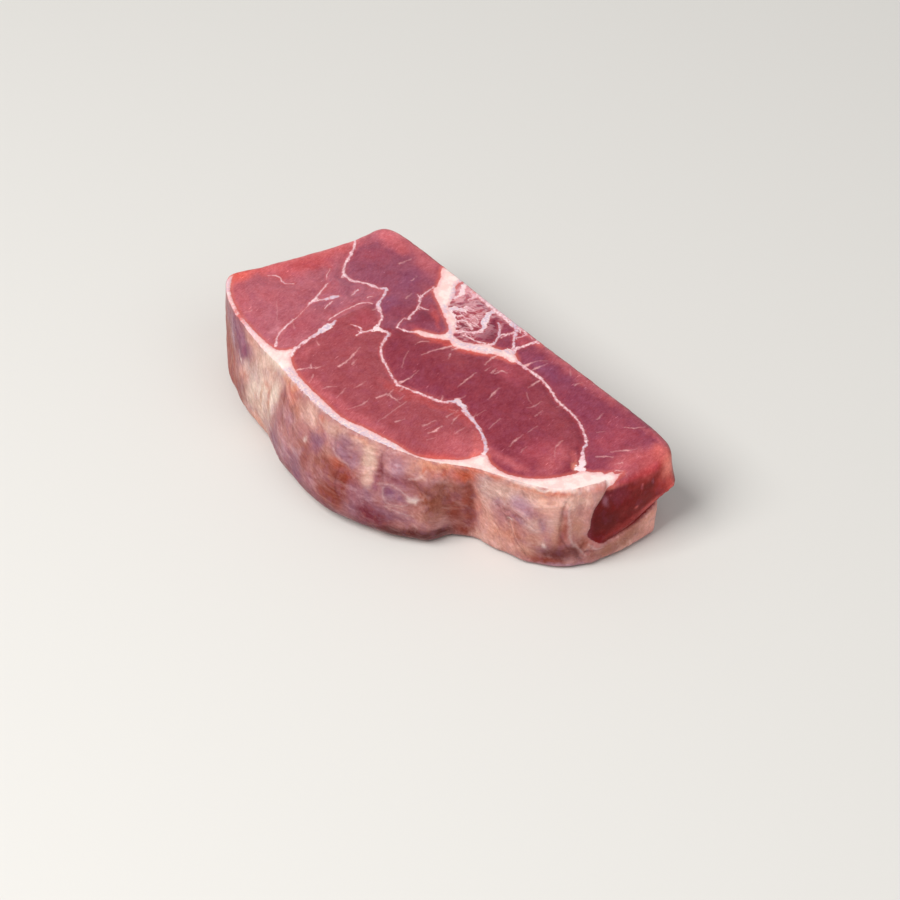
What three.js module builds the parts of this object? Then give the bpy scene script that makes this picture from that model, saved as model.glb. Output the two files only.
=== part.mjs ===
import * as THREE from 'three';

// A slice of beef shank, cut square across the muscles, with one long side still in its own skin.
// All lengths are in millimetres. X runs along the slice, Y across it towards the long straight cut,
// and Z up through its thickness, so that the underside lies flat on Z = 0.

// Thickness of the slice, between its two cut faces.
const THICKNESS = 36;

// The rim of the upper cut face, anticlockwise from the left corner. Each row also says how the side
// under that point goes: how far it bellies out, the radius that rolls it under at the foot, and the
// radius that rounds it over at the rim.
const RIM = [
  { x: -89.8, y: -17.0, belly: 0.5, foot: 4.0, lip: 1.5 },
  { x: -83.0, y: -23.5, belly: 1.6, foot: 5.0, lip: 1.0 },
  { x: -67.0, y: -29.2, belly: 4.4, foot: 7.0, lip: 1.0 },
  { x: -41.0, y: -32.8, belly: 7.6, foot: 8.0, lip: 1.0 },
  { x: -15.0, y: -37.3, belly: 10.2, foot: 8.0, lip: 1.0 },
  { x: 6.0, y: -37.0, belly: 11.4, foot: 8.0, lip: 1.0 },
  { x: 25.0, y: -31.5, belly: 10.8, foot: 8.0, lip: 1.0 },
  { x: 39.0, y: -26.0, belly: 7.2, foot: 7.0, lip: 1.0 },
  { x: 47.0, y: -20.5, belly: 0.8, foot: 5.0, lip: 1.0 },
  { x: 54.0, y: -15.5, belly: -1.6, foot: 3.0, lip: 1.0 },
  { x: 62.0, y: -11.5, belly: 1.2, foot: 3.0, lip: 1.0 },
  { x: 73.0, y: -6.0, belly: 2.4, foot: 3.0, lip: 1.0 },
  { x: 82.0, y: 0.5, belly: 2.4, foot: 3.0, lip: 1.2 },
  { x: 88.0, y: 11.0, belly: 1.8, foot: 3.0, lip: 2.0 },
  { x: 91.2, y: 22.0, belly: 1.2, foot: 3.0, lip: 3.0 },
  { x: 92.0, y: 34.0, belly: 1.0, foot: 3.0, lip: 4.0 },
  { x: 91.6, y: 43.4, belly: 0.6, foot: 3.0, lip: 4.0 },
  { x: 86.5, y: 47.2, belly: 0.0, foot: 2.0, lip: 3.0 },
  { x: 45.0, y: 47.9, belly: 0.3, foot: 2.0, lip: 1.5 },
  { x: 0.0, y: 47.6, belly: 0.8, foot: 2.0, lip: 1.5 },
  { x: -40.0, y: 48.1, belly: 0.3, foot: 2.0, lip: 1.5 },
  { x: -70.0, y: 47.8, belly: 0.0, foot: 2.0, lip: 2.0 },
  { x: -74.3, y: 44.8, belly: 0.0, foot: 2.5, lip: 2.5 },
  { x: -75.9, y: 32.2, belly: 0.5, foot: 2.0, lip: 2.0 },
  { x: -80.3, y: 14.2, belly: 0.8, foot: 2.0, lip: 2.0 },
  { x: -86.4, y: -4.2, belly: 0.5, foot: 3.0, lip: 2.0 },
];

// The row of the rim at which the skin side ends and the straight cuts begin.
const FAR_CORNER_ROW = 16;

// The belly is widest over this share of the thickness, counted from the underside.
const BELLY_WIDEST = 0.22;

// The midline that the two halves of the slice meet on, from its left end to its right end.
const MIDLINE = [
  { x: -74, y: -8 },
  { x: -35, y: 6 },
  { x: 5, y: 6 },
  { x: 45, y: 16 },
  { x: 80, y: 34 },
];

// Seams between the muscles, where the cut face dips a little.
const SEAMS = [
  // Between the two muscles of the left end.
  [[-74, 30], [-66, 19], [-57, 16.3], [-45, 22.5], [-40, 15], [-32, 9.5], [-29.3, 6]],
  // The gristle that runs in from the skin behind the front muscle.
  [[-40, -29], [-41, -20], [-42.3, -11], [-43.3, -2.7]],
  // Round the back of the front muscle, to the fat.
  [[-25, 7.7], [-20.7, 1], [-10.7, -4.3], [0, -7.5], [14.7, -2], [22, 3.3], [36.7, 0], [50.3, -8]],
  // Along the long thin muscle at the back, to the fat at the tip.
  [[10, 31.7], [20, 34], [33.3, 34], [50, 30.2], [66, 25.7], [71, 19.5], [79.3, 13]],
  // The band of fat in the middle of the back edge.
  [[-26, 12.3], [-14, 19], [-4, 26], [5, 29.5], [11, 37], [13, 46]],
  [[-39, 45], [-28, 33], [-12, 26], [-4, 26]],
];
const SEAM_DEPTH = 0.9;
const SEAM_HALF_WIDTH = 2.6;

// Each muscle stands up a little between its seams and the rim.
const SWELL = 0.8;
const SWELL_REACH = 9;

// The right end is bare muscle over a strip of fat that sits back under it. The strip is as high as
// given, at the skin and at the far corner, and steps back by the depth given.
const END_FROM_X = 76;
const END_FULL_X = 90;
const END_FROM_Y = 4;
const END_TO_Y = 44;
const FAT_STRIP_TOP_FRONT = 6;
const FAT_STRIP_TOP_BACK = 20;
const FAT_STRIP_STEP = 3.0;
const END_BULGE = 1.8;
const END_BULGE_Z = 26;
const END_BULGE_HALF_HEIGHT = 6;

// Folds in the skin. Each runs down the side from one height to another as it goes along the rim, and
// is a crease of the depth and half width given.
const FOLDS = [
  { fromX: 82.4, fromZ: 29, toX: 86.3, toZ: 3, depth: 1.6, halfWidth: 2.2 },
  { fromX: 66.0, fromZ: 18, toX: 73.0, toZ: 3, depth: 0.9, halfWidth: 2.0 },
];

// How finely the slice is divided: sections along each half, and points along each part of a section.
const SECTIONS_PER_HALF = 82;
const UNDERSIDE_STEPS = 2;
const FOOT_STEPS = 3;
const SIDE_STEPS = 6;
const LIP_STEPS = 2;
const FACE_STEPS = 11;

const smooth = (from, to, value) => THREE.MathUtils.smoothstep(value, from, to);
const bump = (value) => Math.exp(-value * value);

const rimCurve = new THREE.CatmullRomCurve3(
  RIM.map((row) => new THREE.Vector3(row.x, row.y, 0)),
  true,
  'centripetal',
);
rimCurve.arcLengthDivisions = 2000;

const midlineCurve = new THREE.CatmullRomCurve3(
  MIDLINE.map((point) => new THREE.Vector3(point.x, point.y, 0)),
);

const seamCurves = SEAMS.map((seam) => {
  const points = seam.map(([x, y]) => new THREE.Vector3(x, y, 0));
  return new THREE.CatmullRomCurve3(points, false, 'centripetal').getSpacedPoints(40);
});

// One station of the rim: its place, the way out from it, and its row's values blended with the next.
function rimStation(t) {
  const place = rimCurve.getPoint(t);
  const along = rimCurve.getPoint((t + 0.003) % 1).sub(rimCurve.getPoint((t + 0.997) % 1));
  const out = new THREE.Vector3(along.y, -along.x, 0).normalize();
  const row = Math.floor(t * RIM.length) % RIM.length;
  const blend = smooth(0, 1, t * RIM.length - Math.floor(t * RIM.length));
  const value = (name) => {
    return THREE.MathUtils.lerp(RIM[row][name], RIM[(row + 1) % RIM.length][name], blend);
  };
  return { place, out, belly: value('belly'), foot: value('foot'), lip: value('lip') };
}

// The stations of both halves, evenly spaced along each. The first half goes along the skin side to the
// far corner, and the second back along the cuts.
function rimStations() {
  rimCurve.updateArcLengths();
  const lengths = rimCurve.getLengths();
  const cornerT = FAR_CORNER_ROW / RIM.length;
  const cornerIndex = Math.round(cornerT * (lengths.length - 1));
  const cornerU = lengths[cornerIndex] / lengths[lengths.length - 1];
  const stations = [];
  for (let k = 0; k < 2 * SECTIONS_PER_HALF; k += 1) {
    const share = k / SECTIONS_PER_HALF;
    const u = share < 1 ? cornerU * share : cornerU + (1 - cornerU) * (share - 1);
    stations.push(rimStation(rimCurve.getUtoTmapping(u)));
  }
  return stations;
}

// Shortest distance in plan from a point to a run of points.
function distanceToPath(x, y, path) {
  let nearest = Infinity;
  for (let i = 1; i < path.length; i += 1) {
    const a = path[i - 1];
    const dx = path[i].x - a.x;
    const dy = path[i].y - a.y;
    const share = ((x - a.x) * dx + (y - a.y) * dy) / (dx * dx + dy * dy);
    const held = THREE.MathUtils.clamp(share, 0, 1);
    nearest = Math.min(nearest, Math.hypot(x - a.x - held * dx, y - a.y - held * dy));
  }
  return nearest;
}

// Height of the cut face over its plain level: up in the middle of a muscle, down in a seam.
function faceRelief(x, y, fromRim) {
  const toSeam = Math.min(...seamCurves.map((seam) => distanceToPath(x, y, seam)));
  const toEdge = Math.min(toSeam, fromRim + SEAM_HALF_WIDTH);
  const swell = SWELL * (1 - bump(toEdge / SWELL_REACH));
  return swell - SEAM_DEPTH * bump(toSeam / SEAM_HALF_WIDTH);
}

// How far the side of the right end stands out or steps back at a height. It fades out round the far
// corner, along the straight cut.
function endRelief(place, z) {
  if (place.x < END_FROM_X || place.y < END_FROM_Y) return 0;
  const along = THREE.MathUtils.clamp((place.y - END_FROM_Y) / (END_TO_Y - END_FROM_Y), 0, 1);
  const round = smooth(END_FROM_X, END_FULL_X, place.x);
  const stripTop = THREE.MathUtils.lerp(FAT_STRIP_TOP_FRONT, FAT_STRIP_TOP_BACK, along);
  const step = FAT_STRIP_STEP * (1 - smooth(stripTop - 1.5, stripTop + 1.5, z));
  const bulge = END_BULGE * bump((z - END_BULGE_Z) / END_BULGE_HALF_HEIGHT);
  return along * round * (bulge - step);
}

// Depth of the folds in the skin at a place on the side.
function foldRelief(place, z) {
  if (place.y > 20) return 0;
  return FOLDS.reduce((sum, fold) => {
    const down = (fold.fromZ - z) / (fold.fromZ - fold.toZ);
    if (down < -0.15 || down > 1.15) return sum;
    const fade = smooth(-0.15, 0.1, down) * (1 - smooth(0.9, 1.15, down));
    const foldX = THREE.MathUtils.lerp(fold.fromX, fold.toX, down * down);
    return sum - fold.depth * fade * bump((place.x - foldX) / fold.halfWidth);
  }, 0);
}

// How far out the side is at a height, before the foot and the rim are rounded.
function sideReach(station, z) {
  const up = z / THICKNESS;
  const share = up > BELLY_WIDEST ? Math.sin((Math.PI / 2) * (1 - up) / (1 - BELLY_WIDEST)) : 1;
  return station.belly * share + endRelief(station.place, z) + foldRelief(station.place, z);
}

// A point on the side, moved out from the rim's place by the reach at its height less an inset.
function sidePoint(station, z, inset) {
  const point = station.place.clone().addScaledVector(station.out, sideReach(station, z) - inset);
  point.z = z;
  return point;
}

// One section: from the midline of the underside out to the foot, up the side, over the rim and back
// in over the cut face to the midline.
function section(station, middle) {
  const points = [];
  const footEdge = sidePoint(station, 0, station.foot);
  for (let i = 0; i < UNDERSIDE_STEPS; i += 1) {
    points.push(middle.clone().lerp(footEdge, i / UNDERSIDE_STEPS));
  }
  for (let i = 0; i < FOOT_STEPS; i += 1) {
    const angle = (Math.PI / 2) * (i / FOOT_STEPS);
    const z = station.foot * (1 - Math.cos(angle));
    points.push(sidePoint(station, z, station.foot * (1 - Math.sin(angle))));
  }
  for (let i = 0; i < SIDE_STEPS; i += 1) {
    const z = THREE.MathUtils.lerp(station.foot, THICKNESS - station.lip, i / SIDE_STEPS);
    points.push(sidePoint(station, z, 0));
  }
  for (let i = 0; i < LIP_STEPS; i += 1) {
    const angle = (Math.PI / 2) * (i / LIP_STEPS);
    const z = THICKNESS - station.lip * (1 - Math.sin(angle));
    points.push(sidePoint(station, z, station.lip * (1 - Math.cos(angle))));
  }
  const rimEdge = sidePoint(station, THICKNESS, station.lip);
  const far = middle.clone().setZ(THICKNESS);
  const reach = rimEdge.distanceTo(far);
  for (let i = 0; i <= FACE_STEPS; i += 1) {
    const point = rimEdge.clone().lerp(far, i / FACE_STEPS);
    const fromRim = reach * (i / FACE_STEPS);
    point.z += i === 0 ? 0 : faceRelief(point.x, point.y, fromRim);
    points.push(point);
  }
  return points;
}

// The midline point that station k runs in to. The two halves share these points.
function middlePoint(k) {
  const share = k <= SECTIONS_PER_HALF ? k / SECTIONS_PER_HALF : 2 - k / SECTIONS_PER_HALF;
  return midlineCurve.getPoint(share);
}

// The closed skin over all the sections. Where a section starts and ends on the midline, it uses the
// same corner as its partner in the other half.
function sliceGeometry() {
  const stations = rimStations();
  const count = stations.length;
  const sections = stations.map((station, k) => section(station, middlePoint(k)));
  const rows = sections[0].length;
  const positions = [];
  const corner = sections.map(() => []);
  for (let k = 0; k < count; k += 1) {
    const partner = k > SECTIONS_PER_HALF ? count - k : k;
    for (let row = 0; row < rows; row += 1) {
      const shared = partner !== k && (row === 0 || row === rows - 1);
      if (shared) {
        corner[k].push(corner[partner][row]);
      } else {
        corner[k].push(positions.length / 3);
        positions.push(...sections[k][row].toArray());
      }
    }
  }
  const faces = [];
  const addFace = (a, b, c) => {
    if (a !== b && b !== c && c !== a) faces.push(a, b, c);
  };
  for (let k = 0; k < count; k += 1) {
    const next = (k + 1) % count;
    for (let row = 1; row < rows; row += 1) {
      addFace(corner[k][row - 1], corner[next][row - 1], corner[next][row]);
      addFace(corner[k][row - 1], corner[next][row], corner[k][row]);
    }
  }
  const geometry = new THREE.BufferGeometry();
  geometry.setAttribute('position', new THREE.Float32BufferAttribute(positions, 3));
  geometry.setIndex(faces);
  return geometry;
}

// The origin is under the middle of the slice, on the surface that it lies on.
function centred(geometry) {
  geometry.computeBoundingBox();
  const middle = geometry.boundingBox.getCenter(new THREE.Vector3());
  geometry.translate(-middle.x, -middle.y, 0);
  geometry.computeVertexNormals();
  return geometry;
}

// Raw beef, with a little shine from its moisture.
const meatMaterial = new THREE.MeshStandardMaterial({
  color: 0xa8505c,
  roughness: 0.35,
  metalness: 0,
});

const slice = new THREE.Mesh(centred(sliceGeometry()), meatMaterial);
slice.name = 'beef_shank';

const beefShank = new THREE.Group();
beefShank.add(slice);

export default beefShank;
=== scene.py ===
import math

import bpy
import numpy as np
from mathutils import Matrix, Vector, noise


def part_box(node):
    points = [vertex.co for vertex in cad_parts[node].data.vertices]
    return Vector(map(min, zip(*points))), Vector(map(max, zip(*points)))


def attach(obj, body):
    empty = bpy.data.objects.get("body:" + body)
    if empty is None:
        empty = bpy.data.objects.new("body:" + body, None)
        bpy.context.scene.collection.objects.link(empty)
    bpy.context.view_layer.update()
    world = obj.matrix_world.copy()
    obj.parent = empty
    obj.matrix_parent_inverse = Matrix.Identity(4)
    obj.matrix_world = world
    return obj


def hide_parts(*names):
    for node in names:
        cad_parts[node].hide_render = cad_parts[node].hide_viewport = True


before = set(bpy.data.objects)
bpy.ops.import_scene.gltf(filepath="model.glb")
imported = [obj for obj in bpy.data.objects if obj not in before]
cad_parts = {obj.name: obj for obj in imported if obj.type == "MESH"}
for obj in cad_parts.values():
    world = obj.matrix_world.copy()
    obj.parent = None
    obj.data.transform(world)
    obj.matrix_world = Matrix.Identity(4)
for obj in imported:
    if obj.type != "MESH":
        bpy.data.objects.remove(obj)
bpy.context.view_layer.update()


# The block of the slice
# One thick slice, sawn square through the shank. Both cut faces are flat, the long back and the left
# end are trimmed straight down, and the rounded front and narrow tip are the outside of the leg.
# Lengths are in millimetres until the mesh is made. Plan points are X along the slice and Y across it.

THICKNESS = 36.0
BELLY, FOOT, LIP = 2, 3, 4
RIM = np.array([
    # x, y, how far the side bellies out, radius at the foot, radius at the rim
    (-89.8, -17.0, 0.5, 4.0, 1.5),
    (-83.0, -23.5, 1.6, 5.0, 1.0),
    (-67.0, -29.2, 4.4, 7.0, 1.0),
    (-41.0, -32.8, 7.6, 8.0, 1.0),
    (-15.0, -37.3, 10.2, 8.0, 1.0),
    (6.0, -37.0, 11.4, 8.0, 1.0),
    (25.0, -31.5, 10.8, 8.0, 1.0),
    (39.0, -26.0, 7.2, 7.0, 1.0),
    (47.0, -20.5, 0.8, 5.0, 1.0),
    (54.0, -15.5, -1.6, 3.0, 1.0),
    (62.0, -11.5, 1.2, 3.0, 1.0),
    (73.0, -6.0, 2.4, 3.0, 1.0),
    (82.0, 0.5, 2.4, 3.0, 1.2),
    (88.0, 11.0, 1.8, 3.0, 2.0),
    (91.2, 22.0, 1.2, 3.0, 3.0),
    (92.0, 34.0, 1.0, 3.0, 4.0),
    (91.6, 43.4, 0.6, 3.0, 4.0),
    (86.5, 47.2, 0.0, 2.0, 3.0),
    (45.0, 47.9, 0.3, 2.0, 1.5),
    (0.0, 47.6, 0.8, 2.0, 1.5),
    (-40.0, 48.1, 0.3, 2.0, 1.5),
    (-70.5, 47.0, 0.0, 2.0, 1.4),
    (-74.8, 44.8, 0.0, 2.5, 1.4),
    (-76.2, 32.2, 0.5, 2.0, 1.2),
    (-80.5, 14.2, 0.8, 2.0, 1.4),
    (-86.4, -4.2, 0.5, 3.0, 2.0),
])
FAR_CORNER_ROW = 16
# The share of the height at which the side is widest.
BELLY_WIDEST = 0.22
# The line along the middle of both cut faces, where the two halves of the mesh meet.
MIDLINE = np.array([(-74, -8), (-35, 6), (5, 6), (45, 16), (80, 34)], float)
SECTIONS_PER_HALF = 395
UNDERSIDE_STEPS, FOOT_STEPS, SIDE_STEPS, LIP_STEPS, FACE_STEPS = 20, 8, 34, 5, 52


def smooth(low, high, value):
    """Goes from 0 at low to 1 at high, level at both ends."""
    share = np.clip((value - low) / (high - low), 0, 1)
    return share * share * (3 - 2 * share)


def bump(value):
    """A round bump, 1 at 0 and almost nothing past 2."""
    return np.exp(-value * value)


def spline(points, closed=False, per_span=12):
    """A centripetal Catmull-Rom curve through the points, in plan; other columns go along evenly."""
    count = len(points)
    if not closed:
        before = 2 * points[0] - points[1]
        after = 2 * points[-1] - points[-2]
        points = np.vstack([before, points, after])
    shares = np.arange(per_span) / per_span
    runs = []
    for i in range(count if closed else count - 1):
        at = [(i + j - 1) % count if closed else i + j for j in range(4)]
        p0, p1, p2, p3 = points[at]
        knots = np.cumsum([0] + [max(math.dist(a[:2], b[:2]), 1e-6) ** 0.5
                                 for a, b in ((p0, p1), (p1, p2), (p2, p3))])
        t = (knots[1] + (knots[2] - knots[1]) * shares)[:, None]

        def between(a, b, low, high):
            return ((high - t) * a + (t - low) * b) / (high - low)

        a1, a2, a3 = (between(a, b, knots[j], knots[j + 1])
                      for j, (a, b) in enumerate(((p0, p1), (p1, p2), (p2, p3))))
        b1 = between(a1, a2, knots[0], knots[2])
        b2 = between(a2, a3, knots[1], knots[3])
        run = between(b1, b2, knots[1], knots[2])
        run[:, 2:] = p1[2:] + (p2[2:] - p1[2:]) * smooth(0, 1, shares)[:, None]
        runs.append(run)
    if not closed:
        runs.append(points[-2:-1])
    return np.vstack(runs)


def run_lengths(points):
    """The distance along a run of points to each of them."""
    return np.concatenate([[0], np.cumsum(np.hypot(*np.diff(points[:, :2], axis=0).T))])


# The stations of the rim: the first half along the skin to the far corner, the second back along the
# cuts. "along" is the distance round the rim from the left corner.
SPAN_STEPS = 200
NORMAL_REACH = 1.4
fine_rim = spline(RIM, closed=True, per_span=SPAN_STEPS)
fine_rim = np.vstack([fine_rim, fine_rim[:1]])
fine_lengths = run_lengths(fine_rim)
perimeter = fine_lengths[-1]
corner_length = fine_lengths[FAR_CORNER_ROW * SPAN_STEPS]
along = np.concatenate([
    np.linspace(0, corner_length, SECTIONS_PER_HALF, endpoint=False),
    np.linspace(corner_length, perimeter, SECTIONS_PER_HALF, endpoint=False),
])
station = np.stack([np.interp(along, fine_lengths, column) for column in fine_rim.T], 1)
ahead, behind = (
    np.stack([np.interp((along + step) % perimeter, fine_lengths, fine_rim[:, i]) for i in (0, 1)], 1)
    for step in (NORMAL_REACH, -NORMAL_REACH)
)
heading = (ahead - behind) / np.hypot(*(ahead - behind).T)[:, None]
outward = np.stack([heading[:, 1], -heading[:, 0]], 1)
fine_middle = spline(MIDLINE, per_span=100)
middle_share = np.arange(SECTIONS_PER_HALF + 1) / SECTIONS_PER_HALF
middle_share = np.concatenate([middle_share, middle_share[-2:0:-1]])
middle_lengths = np.linspace(0, 1, len(fine_middle))
middle = np.stack([np.interp(middle_share, middle_lengths, column) for column in fine_middle.T], 1)


# The forms of the sides
# The tip is bare muscle over a strip of the fat that lies under it and sits a little further back.
# The skin has folds where it was loose. Side points are the distance along the rim and the height.

END_FROM_X, END_FULL_X = 76.0, 90.0
END_FROM_Y, END_TO_Y = 4.0, 44.0
STRIP_TOP_FRONT, STRIP_TOP_BACK, STRIP_STEP, STRIP_EDGE = 6.0, 20.0, 2.2, 1.2
CORNER_STEP, CORNER_FROM, CORNER_FULL = 7.0, 0.79, 0.98
END_BULGE, END_BULGE_Z, END_BULGE_HALF_HEIGHT = 0.3, 24.0, 6.0
FOLDS = [
    # points, depth, half width, rise of the loose edge beside it, and its width, with the side as its sign
    ([(187.8, 31), (186.8, 25), (186.3, 18), (187.4, 13), (190, 8), (194, 2.5)], 0.5, 0.7, 0.7, -3.0),
    ([(167.3, 18.5), (168.2, 14), (170.5, 9), (175, 3)], 0.8, 0.7, 0.4, 2.5),
    ([(162.5, 22.8), (166, 22), (169, 22.3), (173.5, 20.3)], 0.6, 0.7, 0.2, 2.0),
    ([(164.5, 20.5), (166.5, 17.8)], 0.5, 0.6, 0.0, 2.0),
    ([(179.2, 22), (180.4, 18.5)], 0.4, 0.8, 0.0, 2.0),
    ([(190.5, 12.5), (192.3, 8.8), (195, 7.4), (197, 9.4)], 0.6, 0.6, 0.3, 2.0),
    ([(151, 34), (152, 27), (153, 20), (152, 13), (154, 5)], 1.0, 1.5, 0.3, -3.0),
    ([(30, 34), (34, 29), (38, 24), (42, 18)], 0.5, 1.2, 0.0, 2.0),
    ([(62, 31), (64, 25), (65.5, 18), (66, 10)], 0.2, 2.0, 0.0, 2.0),
    ([(98, 33), (101, 30), (107, 27.5), (113, 27)], 0.4, 0.9, 0.2, 2.0),
]
FOLD_REACH, EDGE_SET_BACK, EDGE_FADES_FROM, EDGE_FADE = 30, 0.6, 4, 2
# The ring of vein: its middle, half length, half height, rise and thickness.
VEIN_RING = ((126.5, 21.0), 5.5, 3.4, 0.12, 0.8)
LUMPS = [
    # place along the rim, height, half length, half height, rise
    (39, 10, 9, 8, 1.5), (19, 17, 9, 7, -1.7), (60, 8, 12, 8, -0.4), (146, 5, 6, 6, -1.2),
    (155, 6, 4, 7, 1.0), (232, 20, 4, 4.5, 1.2), (228, 7, 6, 6, 0.8), (100, 10, 16, 8, 0.6),
]


def nearest_on(curve, points):
    """For each point, the distance to the curve, the distance out to its right, and the curve's index."""
    best = np.full(len(points), np.inf)
    side = np.zeros(len(points))
    index = np.zeros(len(points))
    for i in range(len(curve) - 1):
        start = curve[i, :2]
        step = curve[i + 1, :2] - start
        length = math.hypot(*step)
        if length < 1e-9:
            continue
        offset = points - start
        share = np.clip(offset @ step / length ** 2, 0, 1)
        gap = np.hypot(*(offset - share[:, None] * step).T)
        closer = gap < best
        best[closer] = gap[closer]
        side[closer] = ((offset[:, 0] * step[1] - offset[:, 1] * step[0]) / length)[closer]
        index[closer] = i + share[closer]
    return best, side, index


def end_relief(place, z):
    """How far the tip's side stands out or steps back at a height."""
    share = np.clip((place[:, 1] - END_FROM_Y) / (END_TO_Y - END_FROM_Y), 0, 1)[:, None]
    rounded = smooth(END_FROM_X, END_FULL_X, place[:, :1]) * (place[:, 1:2] > END_FROM_Y)
    strip_top = STRIP_TOP_FRONT + (STRIP_TOP_BACK - STRIP_TOP_FRONT) * share
    step = STRIP_STEP + CORNER_STEP * smooth(CORNER_FROM, CORNER_FULL, share)
    step = step * (1 - smooth(strip_top - STRIP_EDGE, strip_top + STRIP_EDGE, z))
    bulge = END_BULGE * bump((z - END_BULGE_Z) / END_BULGE_HALF_HEIGHT)
    return share * rounded * (bulge - step)


def fold_relief(z):
    """How far folds, the ring of vein and lumps move the skin in or out at a height."""
    flat = np.stack([np.broadcast_to(along[:, None], z.shape), z], -1).reshape(-1, 2)
    relief = np.zeros(len(flat))
    for points, depth, half_width, edge, edge_width in FOLDS:
        curve = spline(np.array(points, float), per_span=8)
        near = np.abs(flat - curve.mean(0)).max(1) < FOLD_REACH
        gap, side, _ = nearest_on(curve, flat[near])
        past = side * math.copysign(1, edge_width) - EDGE_SET_BACK * abs(edge_width)
        fading = bump(np.maximum(gap - EDGE_FADES_FROM, 0) / EDGE_FADE)
        relief[near] -= depth * bump(gap / half_width)
        relief[near] += edge * bump(past / abs(edge_width)) * fading
    (ring_along, ring_z), ring_half, ring_high, ring_rise, ring_thick = VEIN_RING
    from_ring = np.hypot((flat[:, 0] - ring_along) / ring_half, (flat[:, 1] - ring_z) / ring_high) - 1
    relief += ring_rise * bump(from_ring * ring_high / ring_thick)
    for place, place_z, half_long, half_high, rise in LUMPS:
        relief += rise * bump((flat[:, 0] - place) / half_long) * bump((flat[:, 1] - place_z) / half_high)
    return relief.reshape(z.shape)


def side_points(z, inset):
    """Points on the side at heights z, one column for each row of the section, less an inset."""
    up = z / THICKNESS
    widest = np.sin(np.pi / 2 * (1 - up) / (1 - BELLY_WIDEST))
    share = np.where(up > BELLY_WIDEST, widest, 1.0)
    reach = station[:, BELLY:BELLY + 1] * share + end_relief(station, z) + fold_relief(z) - inset
    plan = station[:, None, :2] + outward[:, None] * reach[..., None]
    return np.concatenate([plan, z[..., None]], 2)


# The sections of the slice
# Each goes from the midline of the underside out to the foot, up the side, over the rim and back in
# over the cut face. "layout" keeps, for every point, the place on the plan of the upper cut face that
# it belongs to, so that the muscles run right through from the face to the underside.

foot_radius, lip_radius = station[:, FOOT, None], station[:, LIP, None]
foot_angle = np.pi / 2 * np.arange(FOOT_STEPS) / FOOT_STEPS
lip_angle = np.pi / 2 * np.arange(LIP_STEPS) / LIP_STEPS
side_share = np.arange(SIDE_STEPS) / SIDE_STEPS
side_z = foot_radius + (THICKNESS - lip_radius - foot_radius) * side_share
foot_points = side_points(foot_radius * (1 - np.cos(foot_angle)), foot_radius * (1 - np.sin(foot_angle)))
wall_points = side_points(side_z, 0)
lip_points = side_points(THICKNESS - lip_radius * (1 - np.sin(lip_angle)),
                         lip_radius * (1 - np.cos(lip_angle)))
rim_edge = side_points(np.full((len(along), 1), THICKNESS), lip_radius)
under_share = (np.arange(UNDERSIDE_STEPS) / UNDERSIDE_STEPS)[:, None]
face_share = (np.arange(FACE_STEPS + 1) / FACE_STEPS)[:, None]
middle_low = np.column_stack([middle, np.zeros(len(middle))])[:, None]
middle_high = np.column_stack([middle, np.full(len(middle), THICKNESS)])[:, None]
underside = middle_low + (foot_points[:, :1] - middle_low) * under_share
face = rim_edge + (middle_high - rim_edge) * face_share
points = np.concatenate([underside, foot_points, wall_points, lip_points, face], 1)
ROWS = points.shape[1]
FIRST_SIDE_ROW = UNDERSIDE_STEPS
FIRST_FACE_ROW = ROWS - FACE_STEPS - 1
row_number = np.arange(ROWS)

rim_layout = rim_edge[:, :, :2]
layout = np.concatenate([
    middle[:, None] + (rim_layout - middle[:, None]) * under_share,
    np.repeat(rim_layout, FIRST_FACE_ROW - FIRST_SIDE_ROW, 1),
    face[..., :2],
], 1)

# Shared corners: where a section starts and ends on the midline, it uses its partner's point.
count = len(along)
partner = np.where(np.arange(count) > SECTIONS_PER_HALF, count - np.arange(count), np.arange(count))
owner = np.repeat(np.arange(count)[:, None], ROWS, 1)
owner[:, 0] = owner[:, -1] = partner
flat_index = owner * ROWS + row_number
used, corner = np.unique(flat_index, return_inverse=True)
corner = corner.reshape(flat_index.shape)


def per_vertex(values):
    """Values given for every station and row, as one list for the mesh's vertices."""
    return values.reshape(count * ROWS, -1)[used]


vertices = per_vertex(points)
plan = per_vertex(layout)
rim_distance = per_vertex(np.repeat(along[:, None], ROWS, 1))[:, 0]
row_of = per_vertex(np.repeat(row_number[None], count, 0))[:, 0]
on_side = (row_of >= FIRST_SIDE_ROW) & (row_of < FIRST_FACE_ROW)
on_face = row_of >= FIRST_FACE_ROW
height = vertices[:, 2]

following = (np.arange(count) + 1) % count
quads = np.stack([corner[:, :-1], corner[following][:, :-1], corner[following][:, 1:], corner[:, 1:]], -1)
quads = quads.reshape(-1, 4)


# The seams between the muscles
# Thin white sheets of gristle and fat part the muscles, and show as lines on the cut faces. Each is a
# run of plan points, with half its thickness at each.

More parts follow.
